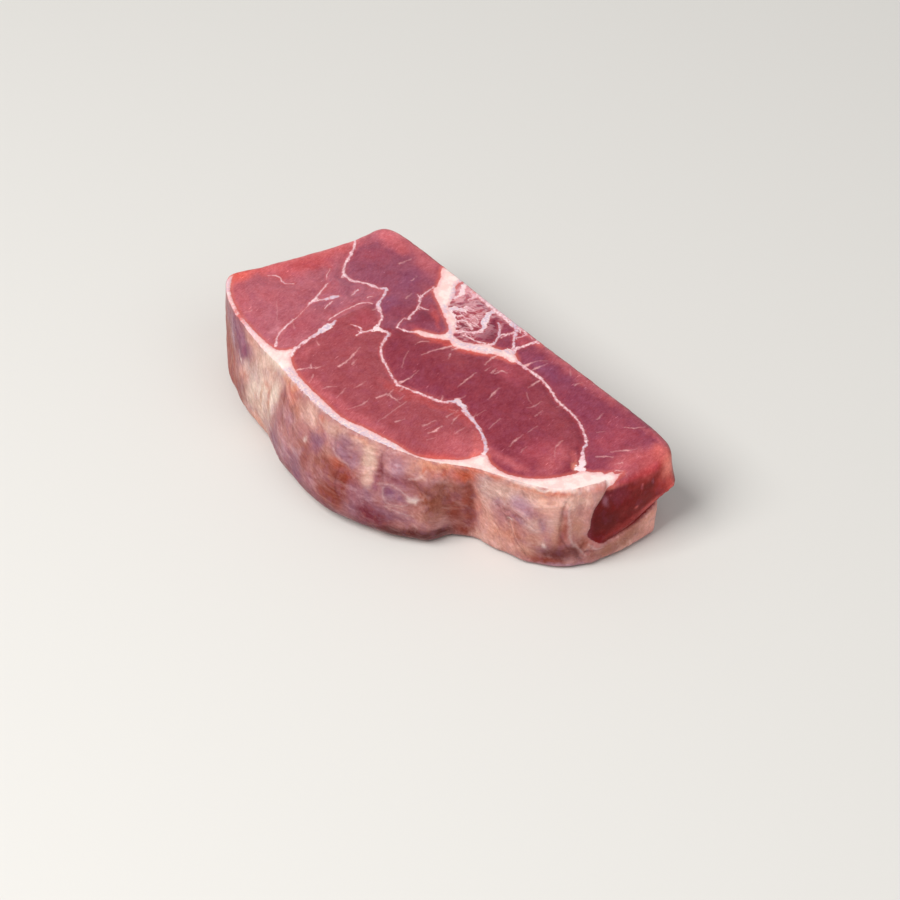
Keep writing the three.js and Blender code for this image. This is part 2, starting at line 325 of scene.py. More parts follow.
SEAMS = [
    # Between the two muscles of the left end, to the white knot in the middle.
    [(-74.6, 31, .5), (-72, 28.3, .6), (-69.5, 24.5, .65), (-67.3, 21, .6), (-65, 18.3, .6),
     (-62.3, 16.2, .75), (-58, 16, .5), (-54.5, 18, .5), (-50, 20.2, .6), (-47.4, 20.9, .65),
     (-45.6, 22.6, 1), (-43.6, 21.3, .8), (-42, 18.4, .45), (-40.4, 15.4, .8), (-38, 13.9, .7),
     (-33.8, 11.8, .45), (-31.2, 8.8, .5), (-30, 7, .9)],
    [(-63.2, 17.2, .3), (-61.8, 15, .35)],
    [(-31, 7.4, .5), (-29.4, 5.8, 1.7), (-28, 6.4, 1.2), (-26, 7.4, .5)],
    [(-29.8, 4.4, .6), (-30.8, 1.8, .35), (-31.5, .7, .75), (-31.3, -1.6, .2)],
    [(-31.6, .8, .6), (-34, 1.5, .4), (-35.9, 1.1, .25), (-37.2, .5, .1)],
    # Round the back of the front muscle, to the fat.
    [(-25.6, 7.4, .4), (-24.3, 7.5, .9), (-23, 5.5, .7), (-22, 3.4, .4), (-20.4, 1, .4),
     (-18, -.9, .4), (-15.6, -2.4, .45), (-11, -4.2, .4), (-6.6, -5.8, .4), (-2.4, -7, .4),
     (.2, -7.6, .55), (2.8, -6.8, .55), (7, -5.4, .45), (10.4, -4, .6), (14.8, -2.6, .55),
     (18.2, -1, .55), (19.8, 1, .8)],
    [(19.8, 1, .8), (21.2, 3.2, 1.1), (24.2, 2.9, 1.2), (28.2, 1.8, .9), (32, 1.2, .7),
     (36.2, .3, .6), (40.8, -1.4, .6), (45.2, -3.5, .65), (48.2, -5.4, .8), (49.9, -7.8, 1.2)],
    # The strap of gristle that runs in from the skin, and the thin line that goes on from it.
    [(-39, -27.4, 1.8), (-39.6, -24.6, .8), (-40.6, -19.8, .7), (-41.1, -15, .75), (-41.6, -10.2, 1.2),
     (-41.8, -7.4, 1.5), (-42.7, -3.6, .8)],
    [(-45, -4.2, .15), (-45.3, -1.6, .2), (-45.6, 1.6, .22), (-45.3, 6, .22), (-45.1, 9.6, .3),
     (-44, 12.2, .25), (-42.3, 13.5, .15)],
    # The vein in the left muscle.
    [(-46, -28.2, .45), (-49.3, -25, .4), (-51.6, -20.4, .35), (-53, -16, .25), (-54.2, -11, .05),
     (-55.8, -6.8, -.1), (-57.1, -3.8, .45), (-57.4, -1.6, .8), (-59, 1.2, .35), (-60.5, 4.6, .25),
     (-61.8, 7.8, .2)],
    [(-64, 9.4, -.1), (-65.4, 10.2, .1), (-66.6, 11.8, .1), (-68.4, 14, -.1)],
    [(-57, -1.4, .5), (-56, .6, .3), (-55, 2.4, .85), (-54.4, 4.2, .9), (-53.8, 6.4, .6)],
    [(-52.6, 2.6, .25), (-51.2, -1, .15)],
    [(-80, -5.8, .1), (-78.4, -4, .2), (-76.6, -3.4, .22), (-74.4, -4, .25), (-72.6, -4.2, .2),
     (-70.4, -2, .1)],
    [(-51, 12, .1), (-51.6, 14, .35)],
    [(-45.8, 15, .15), (-45.4, 16, .1)],
    # The vein in the back muscle, running into its dark border.
    [(-34.6, 36.8, .25), (-33.9, 32.6, .35), (-32.7, 29.3, .45), (-30.2, 26.6, .35), (-28.5, 24, .3),
     (-27.4, 20.8, .45), (-26.6, 19.2, .8)],
    [(-34.8, 29.8, .2), (-33, 29.4, .35)],
    [(-29.6, 25.8, .2), (-27.6, 26.4, .3), (-26, 27.1, .1)],
    [(-27.6, 17.2, .15), (-26.6, 14.8, .2), (-25.2, 12.4, .5), (-22.6, 13, .5), (-20.4, 14, .45),
     (-18.4, 16.4, .4)],
    # Along the long thin muscle at the back, to the fat at the tip.
    [(11.6, 34, 1.6), (15.4, 33.6, .9), (19, 33.6, .7), (23, 33.8, .7), (28, 34.2, .6),
     (33, 34, .55), (37.4, 33, .55), (41.4, 31.8, .5), (45.6, 30.8, .55), (50.4, 30.6, .5),
     (54.8, 30.1, .5),
     (60.2, 28.6, .5), (64.8, 26.4, .5), (68, 24.6, .55), (70, 21.4, .55), (71.6, 19.6, .7),
     (73.6, 18, .9), (75.4, 16, 1.3), (77, 14, 1.9)],
    # The marbled fat in the middle of the back edge: a loop of gristle, with veins on either side.
    [(-10, 26, .9), (-7.6, 29.3, .8), (-5, 31.4, .7), (-3.6, 33.5, .9), (-4, 35.8, 1), (-7.2, 39.2, 1.5),
     (-8.8, 42, 1.3), (-9.2, 44.8, 1), (-9, 48, .7)],
    [(-2.6, 42.2, .3), (-.6, 41.2, .45), (1.4, 39.2, .45), (3, 37.4, .3), (4.4, 35, .35)],
    [(-2.2, 46.2, .8), (.8, 46, 1.1), (3.8, 45.2, .7), (5.6, 44.2, .7), (7.2, 41.6, .55),
     (10.4, 38.6, .55),
     (12.8, 36.6, .8)],
    [(4.8, 43.4, .3), (4.3, 41.4, .3), (4.1, 38.4, .25)],
    [(14.4, 49, .9), (14.4, 47, .8), (13.9, 45, .6), (13.4, 41.6, .6), (12.6, 38.4, .7), (13.6, 36, .8)],
    [(8, 42.4, .2), (8.9, 45.2, .3)],
    [(-21.2, 32.8, 1.1), (-20.4, 34.6, 1.2), (-19, 35.9, 1.1), (-17, 36.9, 1), (-15.4, 37, .5)],
    [(-19.4, 31.8, 1.5), (-17, 31.8, 1.4), (-14.8, 30.6, 1.1), (-12, 29.2, .5)],
    [(-16, 32.8, .4), (-15, 34.6, .45), (-13, 35.1, .4), (-11.2, 36, .2)],
    [(-13.4, 31.7, .4), (-12.6, 33.5, .4), (-10, 33.7, .35), (-7, 33.2, .4)],
    [(-12.6, 37.6, .35), (-9.8, 37.9, .3), (-8, 36.8, .2)],
    [(-17.4, 39.2, .7), (-15, 39.8, .6), (-13.4, 41, .3)],
    [(-11.6, 39.4, .3), (-10.2, 40.4, .3)], [(-9, 35.4, .3), (-6.6, 35.6, .25)],
    [(-24.4, 39.4, .9), (-24.8, 42.6, 1.2), (-27.6, 45.6, 1.2)],
    [(-23, 46, .6), (-20.6, 45.2, .8), (-20.4, 42.8, .5)],
    [(-20.6, 46.6, .5), (-17, 46.4, .7), (-12.8, 46.4, 1), (-8, 46.2, .9), (-2, 45.9, .8),
     (4.6, 46.3, .45),
     (10.6, 46.6, .4), (14.8, 46.6, .6)],
    [(3, 39.4, .3), (4.2, 41.2, .25), (5.2, 42.9, .35)],
    [(3.4, 29.6, .3), (4.4, 31.8, .9), (4.8, 33, .5)],
    [(-5.4, 28.2, .3), (-3.2, 29.2, .35), (-.8, 29.4, .35), (1.4, 30.4, .4), (4.4, 32.6, .4)],
]

# Small flecks of fat inside the muscles. They lie across the slice, along the grain.
FLECKS = [
    [(-11.6, 15.6, .3), (-12.8, 13.6, .35), (-12.6, 11.2, .1)],
    [(-4, 20.6, .45), (-4.6, 17.2, .4), (-5.6, 13.6, .35), (-6.4, 9.4, .2)],
    [(0, 17, .3), (1.4, 15.2, .1)], [(-1.8, 21.4, .5), (-2, 20, .3)],
    [(14.3, 17.2, .2), (14.8, 13.6, .4), (15.4, 10.4, .35), (15.9, 8.2, .1)],
    [(10.6, 31.4, .5), (11.2, 27.6, .4), (12.5, 23.6, .25)], [(17.1, 24.6, .2), (17.6, 22.4, .3)],
    [(21, 26.2, .2), (19.4, 25.8, .4), (19, 23.2, .25)], [(15, 23.8, .1), (15.3, 21.6, .25)],
    [(26.2, 18.2, .2), (27.2, 15.2, .4), (28.2, 12.2, .15)],
    [(31.6, 34, .4), (32.1, 30.6, .45), (32.6, 27.4, .1)],
    [(39.4, 8, .15), (39.8, 5, .25), (40.5, 2.6, .1)],
    [(51.3, 8.6, .15), (51.8, 4.8, .35), (52.6, 2, .15)],
    [(62.6, 17.4, .2), (63.4, 14, .35)], [(63.6, 13.6, .15), (67, 10.6, .1)],
    [(50.8, 15.6, .1), (51.2, 12, .2)], [(45.6, 22.2, .15), (46.3, 19.4, .25)],
    [(41.6, 25.4, .2), (41.8, 21.6, .25), (41.2, 20, .1)], [(32.2, 7, .1), (31.8, 4, .2)],
    [(57, 5.4, .1), (57.6, 3.2, .2)], [(34.6, 24.6, .1), (37.6, 23, .2), (39.6, 22.4, .1)],
    [(-24.2, -6.4, .2), (-22.6, -10.2, .4), (-21.3, -14, .35), (-20.9, -17.6, .5)],
    [(1.8, -11.2, .2), (2.8, -14, .45), (2.2, -16.2, .3), (1.8, -18, .45)],
    [(2.6, -14.1, .3), (5.6, -13.9, .4), (8.8, -13.7, .15)], [(7, -10.2, .15), (7.5, -12.2, .2)],
    [(10.4, -12, .15), (11, -16.6, .2), (11.8, -22, .15), (11.9, -25.4, .1)],
    [(29, -10.6, .25), (29.2, -13, .6), (28.8, -15.8, .25)], [(25, -10.4, .2), (24.5, -14.6, .35)],
    [(27.8, -1.6, .15), (28.6, -3.6, .4), (29.9, -6.2, .15)], [(25.6, -.4, .2), (26, -5.2, .3)],
    [(34.6, -4.2, .15), (34.9, -8.2, .25)], [(-8, -16.2, .1), (-7.6, -19, .3), (-7.8, -21, .1)],
    [(-9.6, -24, .1), (-8.6, -26.4, .25), (-8, -29, .1)],
    [(.4, -21, .15), (1.2, -24, .3), (.8, -26.6, .2), (-.2, -29.6, .1)],
    [(-12.8, -26, .1), (-14.4, -28, .3), (-15, -29.8, .15)], [(-28.2, -27.8, .25), (-29.6, -30.2, .5)],
    [(-28.2, -25.4, .35), (-27.2, -26.2, .4)], [(-23.3, -28.4, .25), (-21.4, -31, .2)],
    [(-37.6, -15.6, .2), (-35.8, -16.3, .3)], [(17.2, -18.4, .15), (16.5, -20.8, .3)],
    [(32.1, -16, .1), (31.2, -18.2, .2)], [(-19.6, -11.2, .15), (-18.8, -13.4, .3)],
    [(-24.8, -22.6, .1), (-25.4, -24.8, .35)], [(.6, -3.2, .35), (0, -6.4, .7)],
    [(-.2, 2.2, .1), (.6, -1.4, .25)], [(3, -7.6, .4), (3.6, -9.2, .2)], [(17.6, -1, .4), (16, .4, .2)],
    [(-11, 6, .2), (-8.8, 2.6, .15), (-6, -.6, .1)], [(20.4, 3, .6), (21.2, 6.6, .1)],
    [(31.8, 2, .4), (31.4, 3.8, .1)], [(23.6, -2, .2), (25.8, -1.4, .15)],
    [(-64.8, -13.6, .1), (-60.4, -16.6, .15), (-57, -19.4, .1)], [(-54, -14.6, .15), (-49, -17.2, .15)],
    [(-52.2, 13.4, .15), (-50.8, 11.2, .25)], [(-68.4, -26, .1), (-67.4, -23.8, .2)],
    [(-52.4, 40, .2), (-53, 36, .4)], [(-43, 35.4, .1), (-42.4, 33.2, .3)],
    [(-36.7, 27.8, .15), (-35.9, 25.2, .3)], [(-34.8, 34.8, .1), (-32, 36.4, .35)],
    [(-39.2, 15, .3), (-38.6, 11.8, .25)], [(22.8, 37.8, .2), (22.2, 35, .7)],
    [(26.8, 40.4, .1), (26.1, 37.4, .35), (25.6, 35, .4)], [(25.4, 41.4, .1), (23.4, 39.2, .15)],
    [(43, 43.4, .1), (42.6, 41.2, .3)], [(75.6, 44.8, .15), (73.6, 41.4, .35), (71.8, 39.8, .25)],
    [(82.6, 34, .1), (81.4, 32, .4), (79.6, 29.6, .35), (78.6, 27.6, .2)],
    [(80.2, 25.6, .25), (78.6, 24, .4), (77, 22, .25)],
    [(84.8, 26.2, .35), (84, 24.8, .15)], [(61, 38, .15), (61.6, 35.4, .25)],
    [(87.6, 24, .3), (86.6, 23, .5)], [(47.2, 30.8, .3), (47, 28.8, .1)],
    [(68.2, 32.4, .1), (67.2, 30.8, .15)], [(34.8, 45, .15), (37, 43.4, .2)],
]


FAR_OFF, LINE_REACH = 50.0, 6


def line_field(runs, spot):
    """For each point of the plan, the nearest line: distance across it, distance to it, half its width."""
    across = np.full(len(spot), FAR_OFF)
    away = np.full(len(spot), FAR_OFF)
    half = np.zeros(len(spot))
    for run in runs:
        curve = spline(np.array(run, float), per_span=8)
        low, high = curve[:, :2].min(0) - LINE_REACH, curve[:, :2].max(0) + LINE_REACH
        near = np.flatnonzero(((spot > low) & (spot < high)).all(1))
        gap, side, index = nearest_on(curve, spot[near])
        width = np.interp(index, np.arange(len(curve)), curve[:, 2])
        better = gap - width < away[near] - half[near]
        chosen = near[better]
        across[chosen], away[chosen], half[chosen] = side[better], gap[better], width[better]
    return np.stack([across, away, half], 1)


def grain_noise(positions, size, seed):
    """Smooth noise over the surface, about -1 to 1, with lumps of the given size."""
    offset = Vector((seed * 17.3, seed * 5.1, seed * 11.7))
    return np.array([noise.noise(Vector(p) / size + offset) for p in positions])


# The grain wanders a little on its way down, so the underside isn't a copy of the face.
DRIFT = np.array([3.0, -2.0])
WANDER, WANDER_SIZE = 3.2, 14.0
place_in_slice = np.column_stack([plan, height])
depth_share = 1 - height / THICKNESS
wander = np.stack([grain_noise(place_in_slice, WANDER_SIZE, seed) for seed in (1, 2)], 1)
spot = plan + depth_share[:, None] * (DRIFT + WANDER * wander)
spot = np.where(on_face[:, None], plan, spot)
seam_field = line_field(SEAMS, spot)
fleck_field = line_field(FLECKS, spot)


# The fat
# A rim of white fat follows the skin and widens to a wedge at the tip. Another wedge comes in from the
# back edge and meets a band that parts the middle muscles.

SKIN_BORDER = np.array([
    (-90.7, -13.2), (-88, -17), (-83.5, -21.4), (-78, -24.6), (-73.2, -26.4), (-67.4, -28.2),
    (-61, -29.1),
    (-54, -29.8), (-48, -30), (-44, -29.5), (-41.6, -27.4), (-40.2, -24.8), (-38.4, -26.8),
    (-35.6, -28.8),
    (-32, -30.6), (-26.4, -32.2), (-19, -33.1), (-11.6, -33.5), (-5, -34), (2.6, -33.9),
    (10, -31.6), (17, -29.9), (25, -28.1), (33.6, -26.8), (38.6, -23.9), (44, -18.6),
    (47.6, -14), (48.6, -10.4), (49.4, -8.4), (51, -7.2), (53.4, -8.4), (57.6, -8.9), (62, -8.2),
    (65.4, -6.6), (69, -4), (72.4, -.4), (74.8, 3.2), (76.8, 7.4), (78.2, 10.8), (78.6, 13.2), (80, 14.6),
    (82, 16), (83.4, 18.2), (84.8, 18.6), (86, 21.2), (87.4, 21.2), (88.8, 24), (90.4, 23.4), (92, 25.4),
    (93.6, 24),
    (115.6, 12), (100.6, -20), (60.6, -60), (-59.4, -60), (-109.4, -30), (-104.4, -12),
], float)
BACK_WEDGE = np.array([
    (-42, 50), (-40.4, 45.4), (-37.6, 43), (-35.6, 40.2), (-34, 38), (-34, 36.6), (-31.8, 35),
    (-28.1, 33.4), (-25.4, 32.4), (-22, 30.9), (-18.9, 29.5), (-16.2, 28.4), (-12.4, 26.4), (-10.9, 24),
    (-11.6, 22), (-13.6, 20.2), (-16, 18.8), (-18.6, 17.4), (-19.4, 15.6), (-17.4, 15.8), (-14.4, 16.8),
    (-11.4, 18.8), (-8.8, 21), (-6.4, 22.4), (-3.8, 21.4), (-1.6, 22), (2.4, 24.4), (6.4, 26.8),
    (9.6, 29.8), (13.6, 31.4), (17.6, 32.2), (17.8, 34.2), (14.6, 35.6), (12.4, 36), (9.8, 33.6),
    (6.8, 32.2),
    (4.2, 31.6), (2, 29.4), (-.8, 27), (-3.4, 25.6), (-6, 25), (-8.4, 25.4), (-9.6, 27.4), (-11.8, 29),
    (-14, 31), (-17.6, 32.2), (-21.4, 33.4), (-23.8, 36.8), (-25.6, 39.8), (-27.6, 42), (-30, 44),
    (-31, 50),
], float)


def inside(curve, spot):
    """Whether each point lies inside a closed curve."""
    crossings = np.zeros(len(spot), int)
    for (x0, y0), (x1, y1) in zip(curve, np.roll(curve, -1, 0)):
        straddles = (y0 > spot[:, 1]) != (y1 > spot[:, 1])
        if straddles.any():
            crossing_x = x0 + (spot[:, 1] - y0) * (x1 - x0) / (y1 - y0)
            crossings += straddles & (spot[:, 0] < crossing_x)
    return crossings % 2 == 1


def area_field(outline, spot):
    """The distance to the edge of an area of fat, less than nothing inside it."""
    curve = spline(outline, closed=True, per_span=6)
    gap, _, _ = nearest_on(np.vstack([curve, curve[:1]]), spot)
    return np.where(inside(curve, spot), -gap, gap)


# Below the rim, the fat fades out on the bare tip and round the left corner.
FAT_FADES = 2.0
TIP_FROM, TIP_FULL, TIP_FADES, TIP_OVER = 192, 199, 230, 262
LEFT_CORNER, LEFT_FADES, LEFT_OVER = 60, 1, 5
near_tip = smooth(TIP_FROM, TIP_FULL, rim_distance) * (1 - smooth(TIP_FADES, TIP_OVER, rim_distance))
near_tip = near_tip * on_side
from_corner = np.where(rim_distance > perimeter / 2, rim_distance - perimeter, rim_distance)
near_left = (1 - smooth(LEFT_FADES, LEFT_OVER, from_corner)) * on_side * (rim_distance < LEFT_CORNER)
fat_area = np.minimum(area_field(SKIN_BORDER, spot), area_field(BACK_WEDGE, spot))
fat_area = fat_area + FAT_FADES * (near_tip + near_left) * (THICKNESS - height)

# Where the fat is thin it is a lilac membrane rather than white: along the front rim, the dark
# seams, and streaks inside the wedges. Each streak is a run of plan points with half its width.
MEMBRANES = [
    [(-88.4, -19, 1), (-79.4, -26, 1.1), (-66.4, -29.6, 1.2), (-55.4, -31, .7)],
    [(-32.4, -32.5, .8), (-21.4, -35, 1.2), (-9.4, -36, 1.4), (2.6, -36.4, 1.5), (12.6, -33.5, 1.3),
     (26.6, -29.6, .8)],
    [(-42.6, -4, 1.2), (-41.7, -10, 1.4), (-41, -15, .5)],
    [(19.8, 1.2, .8), (22.2, 3.2, 1.6), (26, 2.4, 1.3), (34.6, .6, .8), (44.6, -3.2, .7), (48.4, -6, .6)],
    [(-45.6, 22.6, 1.1), (-43, 20.6, .7), (-40, 15, .6)],
    [(-55.2, 1.6, .8), (-53.8, 6.4, .9)], [(-51, 12, .4), (-51.6, 14, .5)],
    [(-23.6, 33.2, .5), (-19.6, 31.2, .6)], [(-30.6, 46, 1.2), (-28, 42.4, 1.2), (-25, 38.4, .8)],
    [(-9.2, 44.4, .6), (-8.6, 41.6, .8), (-6.8, 38.8, .9), (-4.2, 36, .5)],
    [(-3.2, 42.6, .4), (1.6, 38.4, .5), (4.6, 34.4, .6)], [(1, 46, .9), (4.4, 45, .6), (10.4, 38.6, .3)],
    [(8.4, 32.2, .6), (13.4, 35.2, .9)], [(-20.4, 34.4, .6), (-18, 36.6, .5)],
    [(-24.2, 7, .7), (-23, 5, .5)],
    [(69, 23.4, .6), (71, 20, .5)],
    [(-13, 27, .8), (-8.8, 24.2, 1), (-4, 23.8, .8), (2.4, 26.8, .9), (7.4, 30, .9)],
]
MEMBRANE_SOFT_IN, MEMBRANE_SOFT_OUT = -0.4, 0.9
membrane_line = line_field(MEMBRANES, spot)
membrane = 1 - smooth(MEMBRANE_SOFT_IN, MEMBRANE_SOFT_OUT, membrane_line[:, 1] - membrane_line[:, 2])


# The colour of the lean
# Each muscle has a red of its own, from the pink left one to the plum back one. Where a muscle is thin
# over fat it turns coral, and a pink painted highlight runs along the rim of the cut sides. Colours are
# as seen, in 0 to 255.

# The share of the light that shines off the flesh, and the light that falls on the face.
SHINE = 0.014
LIGHT_ON_FACE = 1.1
DARKEST = 0.002


def seen(red, green, blue, shine=SHINE):
    """A colour as it looks in good light, by the usual curve of screens, as the share of light that the
    flesh sends back."""
    light = np.array([(c / 255 / 12.92) if c < 10 else ((c / 255 + 0.055) / 1.055) ** 2.4
                      for c in (red, green, blue)])
    return np.maximum(light - shine, DARKEST) / LIGHT_ON_FACE


LEAN_TONES = {
    "pink": (181, 102, 113), "dusky": (164, 98, 115), "plum": (150, 83, 101), "violet": (138, 78, 104),
    "brick": (163, 82, 90), "deep": (143, 65, 78), "dark": (122, 44, 60), "berry": (176, 84, 96),
    "rose": (194, 102, 109), "warm": (202, 88, 86), "coral": (226, 118, 114), "peach": (234, 152, 132),
    "wine": (144, 70, 88), "flush": (211, 104, 106), "hot": (226, 100, 88), "blossom": (222, 152, 164),
    "scarlet": (196, 82, 84), "petal": (222, 122, 130),
}
LEAN_PATCHES = [
    # x, y, half length, half width, turn in degrees, tone, strength
    (-84, 0, 4.4, 22, -16, "flush", .85), (-76, 22, 3, 13, -14, "flush", .75),
    (-87, -14, 4, 7, 0, "hot", .8),
    (-76, -22, 11, 3, -20, "rose", .6), (-56, 14, 13, 6, 0, "dusky", .8), (-54, 3, 6, 7, 0, "dusky", .8),
    (-58, 6, 3, 6, 20, "rose", .4), (-49, -16, 4, 9, 10, "berry", .6), (-70, -12, 6, 6, 0, "rose", .4),
    (-75, 8, 4.4, 13, -14, "scarlet", .7), (-70, 43.6, 6, 6, 0, "petal", .95),
    (-61, 42, 6, 3.4, 0, "flush", .6), (-45, 43, 8, 5, -8, "rose", .75),
    (-52, -23, 3, 3, 0, "blossom", .4), (-57, 46, 16, 2.6, 0, "rose", .8),
    (-64, 30, 5, 8, -40, "berry", .5),
    (-56, 26, 10, 5, 0, "plum", .7), (-38, 18, 5, 5, -30, "violet", .8), (-43, 33, 5, 7, 0, "violet", .6),
    (-30, 21, 3, 8, -25, "deep", .7), (-34, 34, 4, 2, -30, "brick", .6),
    (-37, 43, 2.4, 4, 40, "berry", .7),
    (-22, 22, 5, 5, 0, "dark", .6), (-20, 26.6, 7, 1.6, -25, "warm", .7),
    (-20, 17, 4, 2, 30, "berry", .6),
    (-37, 7, 5, 4, -20, "berry", .7), (-33, -6, 6, 9, 0, "berry", .3), (-36, -21, 3, 6, 0, "rose", .6),
    (-14, -31, 17, 2.4, 0, "rose", .7), (10, -28.6, 12, 2.2, 9, "rose", .6),
    (3, -10, 9, 2.4, 8, "warm", .45),
    (14, -5.4, 9, 2, 12, "warm", .5), (28, -1.6, 9, 2, -4, "warm", .5), (43, -5, 5, 2, -25, "coral", .6),
    (40, -13, 9, 7, 30, "rose", .85), (47, -9, 2, 5, 20, "coral", .7), (41, -21, 7, 2.4, 35, "warm", .8),
    (-10, 3, 10, 5, -20, "deep", .6), (6, -1, 12, 3, 5, "wine", .6), (20, 7, 6, 3, 0, "dark", .3),
    (-7, 19.6, 8, 1.8, 32, "warm", .9), (4, 24.4, 7, 1.6, 30, "warm", .85),
    (12, 29.6, 5, 1.4, 25, "coral", .8),
    (-15, 14, 5, 2.4, 20, "brick", .7), (22, 31.6, 9, 1.4, 4, "berry", .7),
    (2, 17, 8, 5, 20, "brick", .5),
    (20, 27, 9, 4, 0, "berry", .8), (44, 26, 9, 4, -8, "brick", .5), (58, 22, 8, 4, -15, "brick", .5),
    (30, 13, 8, 7, 0, "deep", .6), (62, 8, 6, 8, 0, "berry", .8), (69, 9, 4, 9, 20, "rose", .8),
    (56, -4, 14, 2.4, 10, "rose", .7), (75, 13.2, 2.6, 0.9, -45, "peach", .7),
    (71.6, 15.8, 2.6, 1.4, -42, "coral", .4),
    (30, 38.6, 12, 3, 3, "violet", .7), (48, 36.4, 12, 3, -3, "wine", .7), (16, 41, 3, 5, 0, "wine", .6),
    (16, 45.4, 2, 1.3, 0, "warm", .8), (40, 45, 26, 2.2, 0, "rose", .65), (74, 30, 6, 7, 0, "berry", .7),
    (72, 38, 10, 4, 0, "berry", .5), (84, 28, 3.6, 9, 0, "rose", .8), (88.4, 36, 4, 9, 0, "hot", .45),
    (89, 41.4, 4, 4, 0, "coral", .9), (87, 30, 3, 9, 0, "rose", .6),
    (84, 44.6, 9, 1.8, 0, "rose", .8), (-26, 44, 3.6, 3.6, 0, "blossom", .95),
    (-22, 45.4, 3, 1.8, 0, "blossom", .8),
    (-22.4, 39.6, 2.4, 2.4, 0, "blossom", .8), (-18.6, 41.6, 3, 1.6, 30, "blossom", .5),
    (-12, 32, 5, 3, 30, "dark", .5), (-21.4, 37.2, 3.4, 1, 52, "dark", .9),
    (-14.2, 44.2, 3.4, 1.5, 0, "plum", .9),
    (-12, 40.4, 3, 1.6, 20, "berry", .6), (-11, 35.2, 5, 3, 0, "berry", .7),
    (-10, 31.4, 3, 1, 30, "dark", .8),
    (1.2, 38.8, 2.8, .8, -48, "violet", .9),
    (-4, 40.6, 2.4, 3, 0, "dark", .5), (2, 36.4, 3, 3, 0, "dark", .6), (6, 39, 2, 3, 0, "wine", .6),
    (10, 42.6, 4, 3, 0, "berry", .9), (-4, 29, 3, 1.4, 20, "dark", .6),
]
# A painted highlight in pink along the rounded rim of the cut sides, which is all of the rim past the
# end of the skin.
RIM_HIGHLIGHT = (224, 132, 134)
RIM_HIGHLIGHT_WIDTH, RIM_HIGHLIGHT_STRENGTH = 1.6, 0.7
SKIN_END = 205


def level_above(border, spot):
    """How far each point is past a border that runs along the slice, towards the back."""
    return spot[:, 1] - np.interp(spot[:, 0], border[:, 0], border[:, 1])


def lay(under, over, share):
    """One colour over another."""
    return under * (1 - share[:, None]) + over * share[:, None]


def paint(colours, tones, patches, spot, shine=SHINE):
    """Lays soft oval patches of the named tones over the colours already there."""
    for x, y, half_long, half_wide, turn, tone, strength in patches:
        angle = math.radians(turn)
        offset = spot - (x, y)
        lengthways = offset @ (math.cos(angle), math.sin(angle)) / half_long
        sideways = offset @ (-math.sin(angle), math.cos(angle)) / half_wide
        share = strength * bump(np.hypot(lengthways, sideways) ** 1.5)
        colours = lay(colours, seen(*tones[tone], shine), share)
    return colours


left_seam = np.array(SEAMS[0])[:, :2]
middle_border = np.array([(-30, 6), (-19, 17), (-9, 23), (2, 28), (11, 34), (33, 34.4), (60, 28.7),
                          (69, 22.6), (79, 13)], float)
front_border = np.array([(-41, 14), (-31, 8), (-24, 7), (-18, -1), (0, -7), (20, 2), (35, .6),
                         (50, -8)], float)
# Half the width over which one muscle's red turns into the next.
SOFT = 0.5
behind_left = smooth(-SOFT, SOFT, level_above(left_seam, spot))
behind_middle = smooth(-SOFT, SOFT, level_above(middle_border, spot))
before_front = 1 - smooth(-SOFT, SOFT, level_above(front_border, spot))
right_of_strap = smooth(-SOFT, SOFT, spot[:, 0] - np.interp(spot[:, 1], [-30, -3, 14], [-40, -43.5, -42]))
right_of_knot = smooth(-SOFT, SOFT, spot[:, 0] + 30)
right_of_band = smooth(-SOFT, SOFT, spot[:, 0] - 14)
in_marbled = smooth(-SOFT, SOFT, spot[:, 0] - np.interp(spot[:, 1], [24, 30, 34, 47], [-8, -14, -24, -30]))
marbled = behind_middle * in_marbled * (1 - smooth(-10, 6, spot[:, 0]))

lean = np.repeat(seen(*LEAN_TONES["pink"])[None], len(spot), 0)
for tone, share in (
    ("plum", behind_left * (1 - right_of_knot)), ("deep", right_of_knot),
    ("plum", behind_middle * right_of_knot * (1 - right_of_band)),
    ("wine", behind_middle * in_marbled * (1 - right_of_band)),
    ("wine", behind_middle * right_of_band), ("brick", before_front * right_of_strap),
):
    lean = lay(lean, seen(*LEAN_TONES[tone]), share)

# The patches are laid down raggedly, so that none of them shows as an oval.
ragged = np.stack([1.6 * grain_noise(place_in_slice, 4.5, seed)
                   + 0.7 * grain_noise(place_in_slice, 1.9, seed + 9) for seed in (5, 6)], 1)
lean = paint(lean, LEAN_TONES, LEAN_PATCHES, spot + ragged)
rim_gap, _, _ = nearest_on(spline(RIM[:, :2], closed=True, per_span=10), plan)
on_cut_rim = (rim_distance > SKIN_END) | (rim_distance < 1)
# The pink band along the rim of the cut sides is a painted highlight.
rim_highlight_share = bump(np.maximum(rim_gap + 0.8 * ragged[:, 0], 0) / RIM_HIGHLIGHT_WIDTH)
lean = lay(lean, seen(*RIM_HIGHLIGHT), on_cut_rim * RIM_HIGHLIGHT_STRENGTH * rim_highlight_share)
